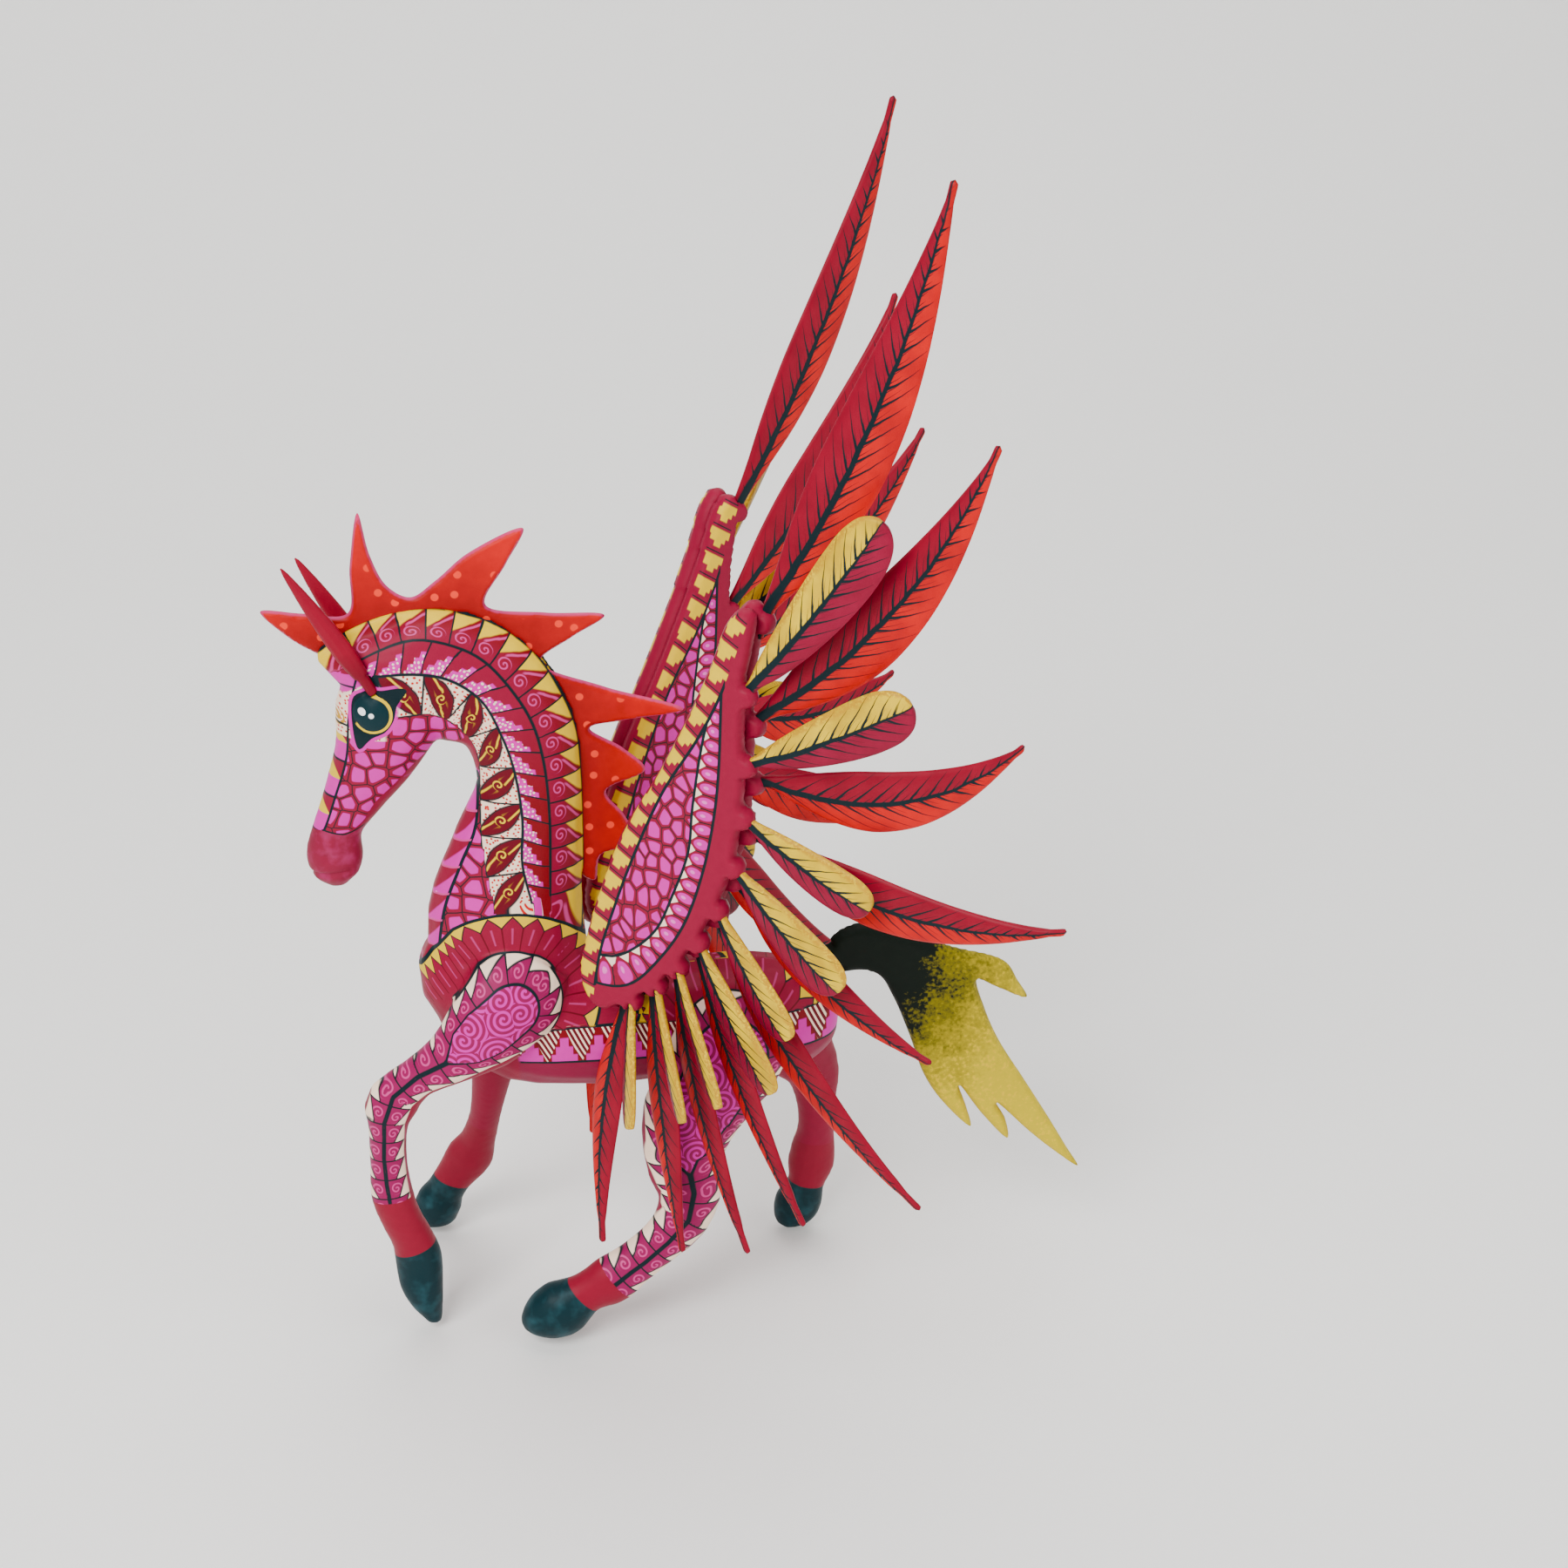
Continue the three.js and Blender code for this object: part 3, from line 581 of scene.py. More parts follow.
def chest_and_head(paint, side, x, z):
    band = paint.attribute("band")
    chest = paint.attribute("chest")
    neck_front = z.between(101, 176, 1) * x.between(-80, -44)
    scales(paint, side, NECK_SCALE, band.above(3) * neck_front)
    # The strip down the front of the chest: scrolls on burgundy and pink points.
    v = (chest / CHEST_WIDTH).most(0)
    t = ((z + v * 4) / CHEST_TILE).fract()
    strip = chest.above(0) * neck_front
    paint.lay(BURGUNDY, strip)
    paint.lay(PINK, v.below((1 - t) * 0.55 - 0.04, 0.05) * strip)
    curl(paint, SOFT_PINK, t, v, (0.66, 0.5), 0.27, strip, 0.2)
    dots = specks(paint, paint.combine(z, chest), 2.2, 0.15, 0.06, 0.5)
    paint.lay(PALE_PINK, dots * v.above(0.3 + t * 0.3, 0.05) * strip)
    paint.lay(LINE, abs(chest).below(0.42) * neck_front * band.above(3))
    paint.lay(SOFT_PINK, t.below(0.07, 0.03) * strip)
    # The cheek's scales, and the strip of triangles down the face.
    cheek = paint.attribute("cheek")
    head = paint.attribute("muzzle").between(-46, 0)
    scales(paint, side, CHEEK_SCALE, cheek.above(0))
    face = paint.attribute("face")
    brow = z.between(189, 209, 0.3) * x.below(-84, 1)
    paint.lay(CREAM, brow)
    paint.lay(BRIGHT_RED, specks(paint, side, 1.3, 0.22) * brow)
    paint.lay(PINK, brow * (z - x * 0.6).above(258, 0.5))
    curl(paint, GOLD, (z - 186) / 9, (x + 100) / 9, (0.31, 0.9), 0.27, brow, 0.3)
    paint.lay(LINE, abs(face + 2.6).below(0.25) * brow)
    strip = face.above(0) * head * x.below(-88, 0.5) * z.below(189, 0.2)
    t = (z / FACE_TILE).fract()
    v = face / FACE_WIDTH
    paint.lay(BURGUNDY, strip)
    paint.lay(PINK, t.above(0.5, 0.03) * strip)
    paint.lay(YELLOW, v.above(t * 1.6, 0.05) * t.below(0.5, 0.03) * strip)
    paint.lay(LINE, (abs(t - 0.5).below(0.03, 0.02) + abs(face).below(0.35)) * head * face.above(-0.3))
    muzzle = paint.attribute("muzzle").above(0, 0.3) * x.below(-84)
    paint.lay(MUZZLE_RED, muzzle)
    # Soft pink patches painted over the muzzle as highlights.
    paint.lay(SOFT_PINK, muzzle * paint.noise(4, 3).above(0.6, 0.3) * 0.35)
    paint.lay(LINE, abs(paint.attribute("muzzle")).below(0.25) * paint.attribute("cheek").above(-1.5))


def neck_bands(paint, x, z):
    band = paint.attribute("band")
    behind_brow = x.above(band * 6.5 - 104, 0.3)
    on_neck = band.between(-0.5, 3) * z.above(NECK_FOOT) * behind_brow
    outer_band(paint, band, on_neck * band.below(1))
    middle_band(paint, band, on_neck * band.between(1, 2))
    inner_band(paint, band, on_neck * band.between(2, 3))
    for edge in range(4):
        paint.lay(LINE, abs(band - edge).below(0.045, 0.03) * z.above(NECK_FOOT) * behind_brow)
    # Small pale dots over the plain back.
    dots = specks(paint, paint.combine(x, paint.position()[1]), 4.6, 0.15, 0.05, 0.35)
    paint.lay(SOFT_PINK, dots * band.below(-0.5) * z.above(101))


def outer_band(paint, band, outer):
    """A yellow point along the crest and a curled pink line on deep red."""
    t = (paint.attribute("outer_along") / OUTER_TILE).fract()
    v = 1 - band
    paint.lay(paint.mixed(DEEP_RED, BURGUNDY, v.below(0.5, 0.5)), outer)
    curl(paint, SOFT_PINK, t * 0.56, v, (0.3, 0.26), 0.19, outer)
    paint.lay(SOFT_PINK, abs(v - (t * 0.5 + 0.36)).below(0.035, 0.03) * t.above(0.3) * outer)
    paint.lay(YELLOW, v.above(t * 0.55 + 0.45, 0.05) * outer)
    paint.lay(LINE, abs(t - 0.5).above(0.465, 0.02) * outer)


def middle_band(paint, band, middle):
    """Stepped pink pyramids with white dots, on burgundy that darkens down the neck."""
    along = paint.attribute("middle_along")
    t = ((along + band * 3) / MIDDLE_TILE).fract()
    v = 2 - band
    paint.lay(paint.mixed(BURGUNDY, DEEP_RED, along.above(60, 30)), middle)
    step = (t * 4).floor() / 4
    stairs = v.below(step * 0.72 + 0.14, 0.04) * t.above(0.14, 0.03) * middle
    paint.lay(PINK, stairs)
    dots = specks(paint, paint.combine(along, band * 8), 1.25, 0.26, randomness=0.6)
    paint.lay(CREAM, dots * stairs * v.below(0.62, 0.05))
    paint.lay(LINE, abs(t - 0.5).above(0.465, 0.02) * middle)


def inner_band(paint, band, inner):
    """Dark leaves with a gold curl, on cream with red dots."""
    along = paint.attribute("inner_along")
    t = (along / INNER_TILE).fract()
    v = 3 - band
    paint.lay(CREAM, inner)
    paint.lay(BRIGHT_RED, specks(paint, paint.combine(along, band * 11), 1.25, 0.25) * inner)
    diagonal = v + t - 1
    offset = v - t
    reach = 0.36 - offset * offset * 0.36
    paint.lay(LINE, abs(diagonal).below(reach + 0.06, 0.05) * inner)
    leaf = abs(diagonal).below(reach, 0.05) * inner
    paint.lay(WINE, leaf)
    radius, gap = spiral(diagonal * 3.4, offset * 3.4, 0.62)
    paint.lay(YELLOW, gap.below(0.17, 0.08) * radius.below(0.72, 0.08) * leaf)
    arms = abs(abs(offset) - 0.5).below(0.32, 0.03) * abs(abs(diagonal) - 0.13).below(0.035, 0.03)
    paint.lay(YELLOW, arms * (diagonal * offset).above(0) * leaf)
    paint.lay(LINE, abs(t - 0.5).above(0.475, 0.02) * inner)


def side_band(paint, x, z):
    """Striped triangles and stepped pyramids along the barrel, with a plain belly below."""
    barrel = paint.attribute("barrel")
    low, high = BARREL_LOW, BARREL_HIGH
    paint.lay(BELLY_RED, z.below(low) * barrel)
    t = (x / BARREL_TILE).fract()
    v = (z - low) / (high - low)
    stripe = z.between(low, high) * barrel
    from_middle = abs(t - 0.5)
    paint.lay(DEEP_RED, stripe)
    hanging = v.above(from_middle * 2.2, 0.05) * stripe
    paint.lay(WINE, hanging)
    paint.lay(CREAM, ((x + z * 0.5) / 1.5).fract().below(0.42, 0.1) * hanging)
    step = ((0.5 - from_middle) * 8).floor() / 4
    paint.lay(PINK, v.below(0.75 - step, 0.04) * (1 - hanging) * stripe)
    paint.lay(LINE, (abs(z - low).below(0.4) + abs(z - high).below(0.4)) * barrel)


def limb_paint(paint, side):
    """Shoulder and thigh rings, the petals down each leg, plain pasterns and dark hooves."""
    along = paint.attribute("limb_along")
    v = paint.attribute("limb_across")
    beyond = paint.attribute("limb_beyond")
    outer = paint.attribute("limb_outer").above(-0.3, 0.1)
    above_band = paint.attribute("limb_ring")
    # Rays and a yellow sawtooth round the shoulder and the hip.
    ring = beyond.between(0, RING_WIDTH) * above_band
    t = (along / RING_TILE).fract()
    paint.lay(BURGUNDY, ring)
    paint.lay(SOFT_PINK, abs(t - 0.5).below(0.05, 0.04) * beyond.between(2, 7) * ring * 0.6)
    paint.lay(WINE, abs(t - 0.5).above(0.46, 0.02) * ring)
    tooth = beyond.above(10.6 - abs(t - 0.5) * 6.6, 0.2)
    paint.lay(YELLOW, tooth * ring)
    paint.lay(LINE, abs(beyond - (10.3 - abs(t - 0.5) * 6.6)).below(0.22) * ring)
    paint.lay(LINE, abs(beyond - RING_WIDTH).below(0.45) * above_band)
    # Petals with a scroll each and cream points between their tips.
    petals = v.between(0, 1, 0.05) * outer
    t = (along / PETAL_TILE).fract()
    paint.lay(MAGENTA, petals)
    curl(paint, SOFT_PINK, t, v, (0.42, 0.5), 0.32, petals, 0.2)
    cream = v.above(1.02 - t * 0.5, 0.05) * petals
    paint.lay(LINE, v.above(0.94 - t * 0.5, 0.05) * petals)
    paint.lay(CREAM, cream)
    paint.lay(LINE, abs(t - 0.5).above(0.465, 0.02) * petals)
    swirls(paint, side, SWIRL_SIZE, v.below(0, 0.05) * outer * along.below(36, 0.5))
    paint.lay(LINE, abs(v).below(0.06, 0.04) * outer)
    paint.lay(LINE, abs(v - 1).below(0.04, 0.03) * outer * above_band)
    # Inner faces, pasterns and hooves are plain.
    plain = (1 - outer) * v.below(1.3, 0.05)
    paint.lay(BURGUNDY, plain)
    paint.lay(PLAIN_RED, paint.attribute("pastern").above(0, 0.2) * v.below(2.5, 0.05))
    hoof = paint.attribute("hoof").above(0, 0.3) * v.below(3, 0.05)
    paint.lay(HOOF, hoof)
    paint.lay(HOOF_SHEEN, hoof * paint.noise(5, 2).above(0.62, 0.3) * 0.5)


def eye_paint(paint, x, z):
    """A dark almond outlined in pink, with a yellow ring and two white glints."""
    patch = paint.attribute("eye_patch")
    paint.lay(PINK, patch.above(-0.9) * x.below(-80, 2))
    paint.lay(LINE, patch.above(0))
    dx, dz = x - EYE[0], z - EYE[1]
    radius = (dx * dx + dz * dz).math("SQRT")
    ring = abs(radius - EYE_RADIUS).below(0.42) * patch.above(-3) * (dx - dz * 0.6).above(-2.6, 0.5)
    paint.lay(HOOF, radius.below(EYE_RADIUS))
    paint.lay(YELLOW, ring)
    for at, size in (((-2.6, 1.0), 1.05), ((-0.1, 0.1), 0.75)):
        gx, gz = dx - at[0], dz - at[1]
        paint.lay(WHITE, (gx * gx + gz * gz).math("SQRT").below(size))


def wing_paint():
    """A burgundy strip with yellow hands, a field of scales, cream teeth and long cells."""
    paint = Paint("painted_wing", BURGUNDY)
    strip = paint.attribute("strip")
    field = paint.attribute("field")
    cells = paint.attribute("cells")
    plane = paint.combine(paint.attribute("wing_a") * 1.2, paint.attribute("wing_b") * 0.85)
    face = paint.attribute("wing_face").above(0.5, 0.1)
    # Scale field behind the strip and inside the cells.
    in_field = strip.above(0) * field.above(0) * face
    scales(paint, plane, WING_SCALE, in_field, randomness=0.8)
    # The ring of long cells with highlights.
    ring = field.below(0) * cells.above(0) * strip.above(0) * face
    along = paint.attribute("field_along")
    t = (along / OVAL_TILE).fract()
    v = abs(field) / (abs(field) + cells)
    from_middle = abs(t - 0.5)
    height = (v - 0.6) / 0.4
    span = from_middle / 0.33
    egg = span * span + height * height
    paint.lay(BURGUNDY, ring)
    paint.lay(PINK, egg.below(1, 0.25) * ring)
    glint = span * span * 5 + (v - 0.5) * (v - 0.5) * 40
    paint.lay(PALE_PINK, glint.below(0.6, 0.5) * ring * 0.7)
    paint.lay(LINE, from_middle.above(0.46, 0.02) * v.above(0.22) * ring)
    paint.lay(CREAM, v.below(from_middle * 0.8 - 0.05, 0.03) * ring)
    for line in (abs(field).below(0.4) * cells.above(0), abs(cells).below(0.42)):
        paint.lay(LINE, line * strip.above(0) * face)
    # Yellow stepped hands on the leading strip.
    on_strip = strip.below(0) * face
    along = paint.attribute("strip_along")
    depth = abs(strip)
    t = ((along + depth * 0.25) / HAND_TILE).fract()
    from_middle = abs(depth - HAND_HALF)
    finger = (from_middle / 1.2).floor()
    hand = from_middle.below(HAND_HALF, 0.15) * t.between(0.16, 0.84 - finger * 0.2, 0.05)
    paint.lay(YELLOW, hand * on_strip)
    paint.lay(LINE, t.below(0.05, 0.03) * on_strip)
    paint.lay(LINE, abs(strip).below(0.42) * face * cells.above(-1))
    return paint.finish(roughness=0.48, wear=0.28)


def feather_paint(name, upper, lower, barb, speckle):
    """Two painted halves either side of a dark quill, with slanting barbs."""
    paint = Paint(name, upper)
    u = paint.attribute("feather_u")
    v = paint.attribute("feather_v")
    half = paint.attribute("feather_half")
    length = paint.attribute("feather_length")
    seed = paint.attribute("feather_seed")
    across = v * half
    wobble = (paint.noise(7, 2) - 0.5)
    # The two halves, the lower one meeting the upper at the quill.
    paint.lay(lower, (across + wobble * 0.8).below(0, 0.15))
    tone = paint.noise(9, 2, (1, 1, 1))
    paint.lay(WINE, tone.above(0.52, 0.3) * 0.35)
    if speckle:
        # The upper half's rim is dabbed with gold.
        grains = paint.noise(0.8, 2)
        rim = v.above(0.78 + wobble * 0.3, 0.15)
        paint.lay(GOLD, rim * grains.above(0.45, 0.1))
        paint.lay(GOLD, rim * grains.above(0.6, 0.05) * 0.7)
    reach = abs(across)
    share = u / length
    # Barbs leave the quill towards the tip and thin out before the edge.
    for slope, pitch, width, longest in ((1.15, 5.2, 0.62, 0.98), (1.5, 2.6, 0.2, 0.45)):
        leaning = reach * slope + reach * reach * 0.05
        count = (u - leaning + wobble * 1.8) / pitch + v.above(0) * 0.5
        stop = paint.random(count.floor(), seed).math("MULTIPLY_ADD", 0.25, longest - 0.2)
        gap = abs(count.fract() - 0.5) * pitch
        taper = (1 - abs(v) / stop).most(0)
        mark = gap.below(taper * width + 0.03, 0.14) * taper.above(0.03, 0.03) * share.below(0.965)
        paint.lay(barb, mark)
    thickness = (1 - share) * 0.95 + 0.2
    paint.lay(barb, abs(across + wobble * 1.0).below(thickness, 0.2))
    paint.lay(barb, share.below(0.12, 0.03) * reach.below(1.4, 0.5))
    return paint.finish(roughness=0.44, wear=0.3, grain=(1, 1, 0.35))


def mane_paint():
    """Deep red at the crest, orange-red at the tips, with lighter dots."""
    paint = Paint("painted_mane", MANE_RED)
    reach = paint.attribute("mane_reach")
    streaks = paint.noise(5, 3)
    paint.lay(BRIGHT_RED, (reach + streaks * 14).above(18, 20))
    paint.lay(ORANGE_RED, (reach + streaks * 16).above(40, 16) * 0.35)
    x, _, z = paint.position()
    inside = paint.attribute("edge").above(1.6, 0.3)
    paint.lay(ORANGE_RED, specks(paint, paint.combine(x, z, 0), 8, 0.135, 0.03, 0.6) * inside)
    paint.lay(SOFT_PINK, paint.attribute("edge").below(0.5, 0.4) * 0.6)
    return paint.finish(roughness=0.42, wear=0.34)


def tail_paint():
    """A black root sponged out into olive yellow."""
    paint = Paint("painted_tail", OLIVE)
    reach = paint.attribute("tail_reach")
    grains = paint.noise(1.0, 4)
    patches = paint.noise(6, 3)
    dark = (reach - 34) / 22 + (grains - 0.5) * 1.5 + (patches - 0.5) * 1.2
    paint.lay(DARK_OLIVE, dark.below(0.9, 0.9) * 0.7)
    paint.lay(DARK_OLIVE, dark.below(0.35, 0.35))
    paint.lay(BLACK, dark.below(0.0, 0.3))
    paint.lay(YELLOW, grains.above(0.6, 0.12) * reach.above(50, 12) * 0.7)
    return paint.finish(roughness=0.6, wear=0.3)


def ear_paint():
    paint = Paint("painted_ear", CRIMSON)
    _, _, z = paint.position()
    paint.lay(WINE, z.below(212, 8) * 0.6)
    return paint.finish(roughness=0.44, wear=0.3)


def bare_wood():
    paint = Paint("bare_copal", COPAL)
    rings = paint.noise(1.5, 4, (0.2, 1, 1))
    paint.lay((0.45, 0.28, 0.09), rings.above(0.5, 0.3) * 0.6)
    return paint.finish(roughness=0.8, wear=0.3)


# ================================================================ shapes
def smoothed(points, faces, rounds):
    """Points relaxed towards their neighbours without shrinking."""
    edges = np.vstack([faces[:, [i, (i + 1) % faces.shape[1]]] for i in range(faces.shape[1])])
    edges = np.unique(np.sort(edges, axis=1), axis=0)
    a, b = np.concatenate([edges[:, 0], edges[:, 1]]), np.concatenate([edges[:, 1], edges[:, 0]])
    degree = np.bincount(a, minlength=len(points))[:, None]
    for i in range(rounds):
        for weight in (0.52, -0.54):
            mean = np.stack([np.bincount(a, points[b, k], len(points)) for k in range(3)], 1) / degree
            points = points + weight * (mean - points)
    return points


def vertex_normals(points, faces):
    corners = points[faces]
    diagonals = np.cross(corners[:, 2] - corners[:, 0], corners[:, 3] - corners[:, 1])
    normals = np.zeros_like(points)
    for k in range(4):
        for axis in range(3):
            normals[:, axis] += np.bincount(faces[:, k], diagonals[:, axis], len(points))
    return normals / np.maximum(np.linalg.norm(normals, axis=1), 1e-9)[:, None]


def voxel_skin(name, parts, voxel):
    """One quad skin round several closed meshes."""
    points, faces, count = [], [], 0
    for part_points, part_faces in parts:
        points.append(part_points)
        faces.append(part_faces + count)
        count += len(part_points)
    rough = new_object(name, np.vstack(points), np.vstack(faces), {}, None)
    remesh = rough.modifiers.new("skin", "REMESH")
    remesh.mode = "VOXEL"
    remesh.voxel_size = voxel * MM
    evaluated = rough.evaluated_get(bpy.context.evaluated_depsgraph_get()).to_mesh()
    skin = np.empty(len(evaluated.vertices) * 3)
    evaluated.vertices.foreach_get("co", skin)
    quads = np.array([tuple(f.vertices) for f in evaluated.polygons if len(f.vertices) == 4])
    bpy.data.objects.remove(rough)
    return skin.reshape(-1, 3) / MM, quads


def sculpted(points, faces):
    """Eyes, brows, nostrils, mouth and muscles worked into the smooth skin."""
    normals = vertex_normals(points, faces)
    mirrored = points * [1, 0, 1] + np.abs(points) * [0, 1, 0]
    push = np.zeros(len(points))
    for centre, radius, height in RELIEF:
        distance = np.linalg.norm(mirrored - centre, axis=1) / radius
        push += height * np.exp(-distance ** 2 * 2)
    rim = np.abs(np.hypot(points[:, 0] - EYE[0], points[:, 2] - EYE[1]) - EYE_RADIUS - 0.4)
    on_head = (points[:, 2] > 185) & (points[:, 0] < -78)
    push -= np.where(on_head, 0.55 * np.exp(-(rim / 0.7) ** 2), 0)
    mouth = np.abs(points[:, 2] - 146.5 - (points[:, 0] + 100) * 0.1)
    at_mouth = (points[:, 0] < -96) & (points[:, 2] < 152)
    push -= np.where(at_mouth, 0.7 * np.exp(-(mouth / 0.6) ** 2), 0)
    points = points + normals * push[:, None]
    points[:, 2] = np.maximum(points[:, 2], 0)
    return points


def limb_coordinates(points):
    """For each point, its place on the painted layout of the nearest leg on its side."""
    count = len(points)
    keys = ("limb_along", "limb_across", "limb_beyond", "limb_outer", "limb_ring", "pastern", "hoof")
    best = {key: np.zeros(count) for key in keys}
    nearest = np.full(count, np.inf)
    flat = points[:, [0, 2]]
    for name, limb in LIMBS.items():
        same_side = (points[:, 1] < 0) == name.startswith("left")
        along, across, segment, share = along_line(flat, limb["line"])
        distance = np.abs(across)
        # Round the upper end the tiles go on along a circle.
        start, second = np.array(limb["line"][0]), np.array(limb["line"][1])
        axis = (second - start) / np.linalg.norm(second - start)
        offset = flat - start
        back = -(offset @ axis)
        turn = np.arctan2(back, np.abs(offset[:, 0] * axis[1] - offset[:, 1] * axis[0]))
        petals = np.interp(along, *zip(*limb["petals"]))
        field = np.interp(along, *zip(*limb["field"]))
        wrapped = np.where(back > 0, -turn * limb["petals"][0][1] * 0.8, along)
        relative = (distance - field) / (petals - field)
        y = np.array(limb["y"], float)
        middle = y[segment] + share * (y[segment + 1] - y[segment])
        outer = (np.abs(points[:, 1]) - middle) / petals - (0 if name.startswith("left") else 0.3)
        closer = same_side & (distance / petals < nearest)
        nearest = np.where(closer, distance / petals, nearest)
        fields = {
            "limb_along": wrapped,
            "limb_across": relative,
            "limb_beyond": distance - petals,
            "limb_outer": outer,
            "limb_ring": ((points[:, 2] > 99.5) & (along < 30)).astype(float),
            "pastern": along - limb["pastern"],
            "hoof": along - limb["hoof"],
        }
        for key, values in fields.items():
            best[key] = np.where(closer, values, best[key])
    return best


def band_coordinates(flat):
    """Which neck band a point is in, as 0 to 3 from the crest inwards with the share across it,
    and the distance down each band's own middle."""
    depths, alongs = [], []
    for line in (CREST, *NECK_BANDS):
        along, across = along_curve(flat, line)
        depths.append(-across)
        alongs.append(along)
    at_crest = (depths[0] > -2) & (flat[:, 1] > WITHERS_HEIGHT)
    band = np.where((depths[0] > 0) & (flat[:, 0] < WITHERS_FRONT), 3.5, np.where(at_crest, 0.0, -1.0))
    for i, (outer, inner) in enumerate(zip(depths[:-1], depths[1:])):
        inside = (outer >= 0) & (inner < 0)
        band = np.where(inside, i + outer / np.maximum(outer - inner, 1e-6), band)
    middles = [(one + other) / 2 for one, other in zip(alongs[:-1], alongs[1:])]
    return band, middles


def body_coordinates(points):
    flat = points[:, [0, 2]]
    band, (outer_along, middle_along, inner_along) = band_coordinates(flat)
    coordinates = {
        "band": band,
        "outer_along": outer_along,
        "middle_along": middle_along,
        "inner_along": inner_along,
        "cheek": depth_inside(flat, smooth_curve(CHEEK, 2)),
        "eye_patch": depth_inside(flat, smooth_curve(EYE_PATCH, 1.5)),
        "face": -along_curve(flat, FACE_LINE)[1],
        "muzzle": -along_curve(flat, MUZZLE_LINE)[1],
        "chest": -along_curve(flat, CHEST_LINE)[1],
        "barrel": ((points[:, 0] > -52) & (points[:, 2] < 101)).astype(float),
    }
    coordinates.update(limb_coordinates(points))
    return coordinates


def groove_filler():
    """Filler that closes the neck's groove round the glued mane board."""
    top = smooth_curve(NECK_TOP, 3, closed=False)
    step = np.gradient(top, axis=0)
    inward = np.stack([step[:, 1], -step[:, 0]], 1) / np.linalg.norm(step, axis=1)[:, None]
    rows = [(top[i], top[i] + FILLER_DEPTH * inward[i]) for i in range(len(top))]
    points = [(x, y, z) for pair in rows for x, z in pair for y in (-FILLER_HALF, FILLER_HALF)]
    faces = []
    for i in range(len(rows) - 1):
        a, b = 4 * i, 4 * i + 4
        for j, k in ((0, 1), (1, 3), (3, 2), (2, 0)):
            faces += [(a + j, a + k, b + k), (a + j, b + k, b + j)]
    last = 4 * (len(rows) - 1)
    faces += [(0, 2, 3), (0, 3, 1), (last, last + 1, last + 3), (last, last + 3, last + 2)]
    return np.array(points), np.array(faces)


def carved_horse(frame, material):
    """Body and legs as the one carving they become once glued, filled and painted."""
    names = ["body", *LEGS, *(f"{leg}_peg" for leg in LEGS)]
    parts = [mesh_arrays(frame["nodes"][name]) for name in names]
    parts.append(groove_filler())
    points, quads = voxel_skin("carving_rough", parts, CARVING_VOXEL)
    points = smoothed(points, quads, CARVING_SMOOTHING)
    points = sculpted(points, quads)
    horse = new_object("carved_horse", points, quads, body_coordinates(points), material)
    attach(horse, "carving")
    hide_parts("body", *LEGS)
    return horse


def flat_side(points, triangles, towards):
    """The outline of a board's flat side that faces the given way, and its normal."""
    corners = points[triangles]
    cross = np.cross(corners[:, 1] - corners[:, 0], corners[:, 2] - corners[:, 0])
    area = np.linalg.norm(cross, axis=1)
    normal = cross / np.maximum(area, 1e-9)[:, None]
    largest = np.argmax(np.where(normal @ towards > 0.05, area, 0))
    height = (corners - corners[largest, 0]) @ normal[largest]
    coplanar = (normal @ normal[largest] > 0.99) & (np.abs(height).max(axis=1) < 0.02)
    edges = {(a, b) for t in triangles[coplanar] for a, b in zip(t, np.roll(t, -1))}
    border = {a: b for a, b in edges if (b, a) not in edges}
    loops = []
    while border:
        loop = [next(iter(border))]
        while loop[-1] in border:
            loop.append(border.pop(loop[-1]))
        loops.append(loop[:-1])
    return points[max(loops, key=len)], normal[largest]


def pillow(outline, step, half_thickness, edge_radius):
    """A board with rounded edges from its outline: points as (across, up, out), triangles and
    each point's distance from the edge."""
    border = smooth_curve(outline, step)
    low, high = border.min(0), border.max(0)
    grid = np.stack(np.meshgrid(*[np.arange(l, h, step) for l, h in zip(low, high)]), -1).reshape(-1, 2)
    grid[:, 0] += (np.round(grid[:, 1] / step) % 2) * step / 2
    inner = grid[depth_inside(grid, border) > 0.55 * step]
    sites = [Vector(p) for p in np.vstack([border, inner])]
    ring = [(i, (i + 1) % len(border)) for i in range(len(border))]
    verts, _, faces, *_ = delaunay_2d_cdt(sites, ring, [list(range(len(border)))], 1, 1e-5)
    flat = np.array([tuple(v) for v in verts])
    faces = np.array([f for f in faces if len(f) == 3])
    depth = np.abs(depth_inside(flat, border))
    depth[depth < 1e-3] = 0
    rise = half_thickness * np.sqrt(1 - (1 - np.clip(depth / edge_radius, 0, 1)) ** 2)
    top = np.column_stack([flat, rise])
    bottom = np.column_stack([flat, -rise])
    twin = np.arange(len(flat)) + len(flat)
    twin[depth == 0] = np.nonzero(depth == 0)[0]
    lower = twin[faces[:, ::-1]]
    area = np.cross(flat[faces[:, 1]] - flat[faces[:, 0]], flat[faces[:, 2]] - flat[faces[:, 0]])
    if area.sum() < 0:
        faces, lower = faces[:, ::-1], lower[:, ::-1]
    return np.vstack([top, bottom]), np.vstack([faces, lower]), np.concatenate([depth, depth])


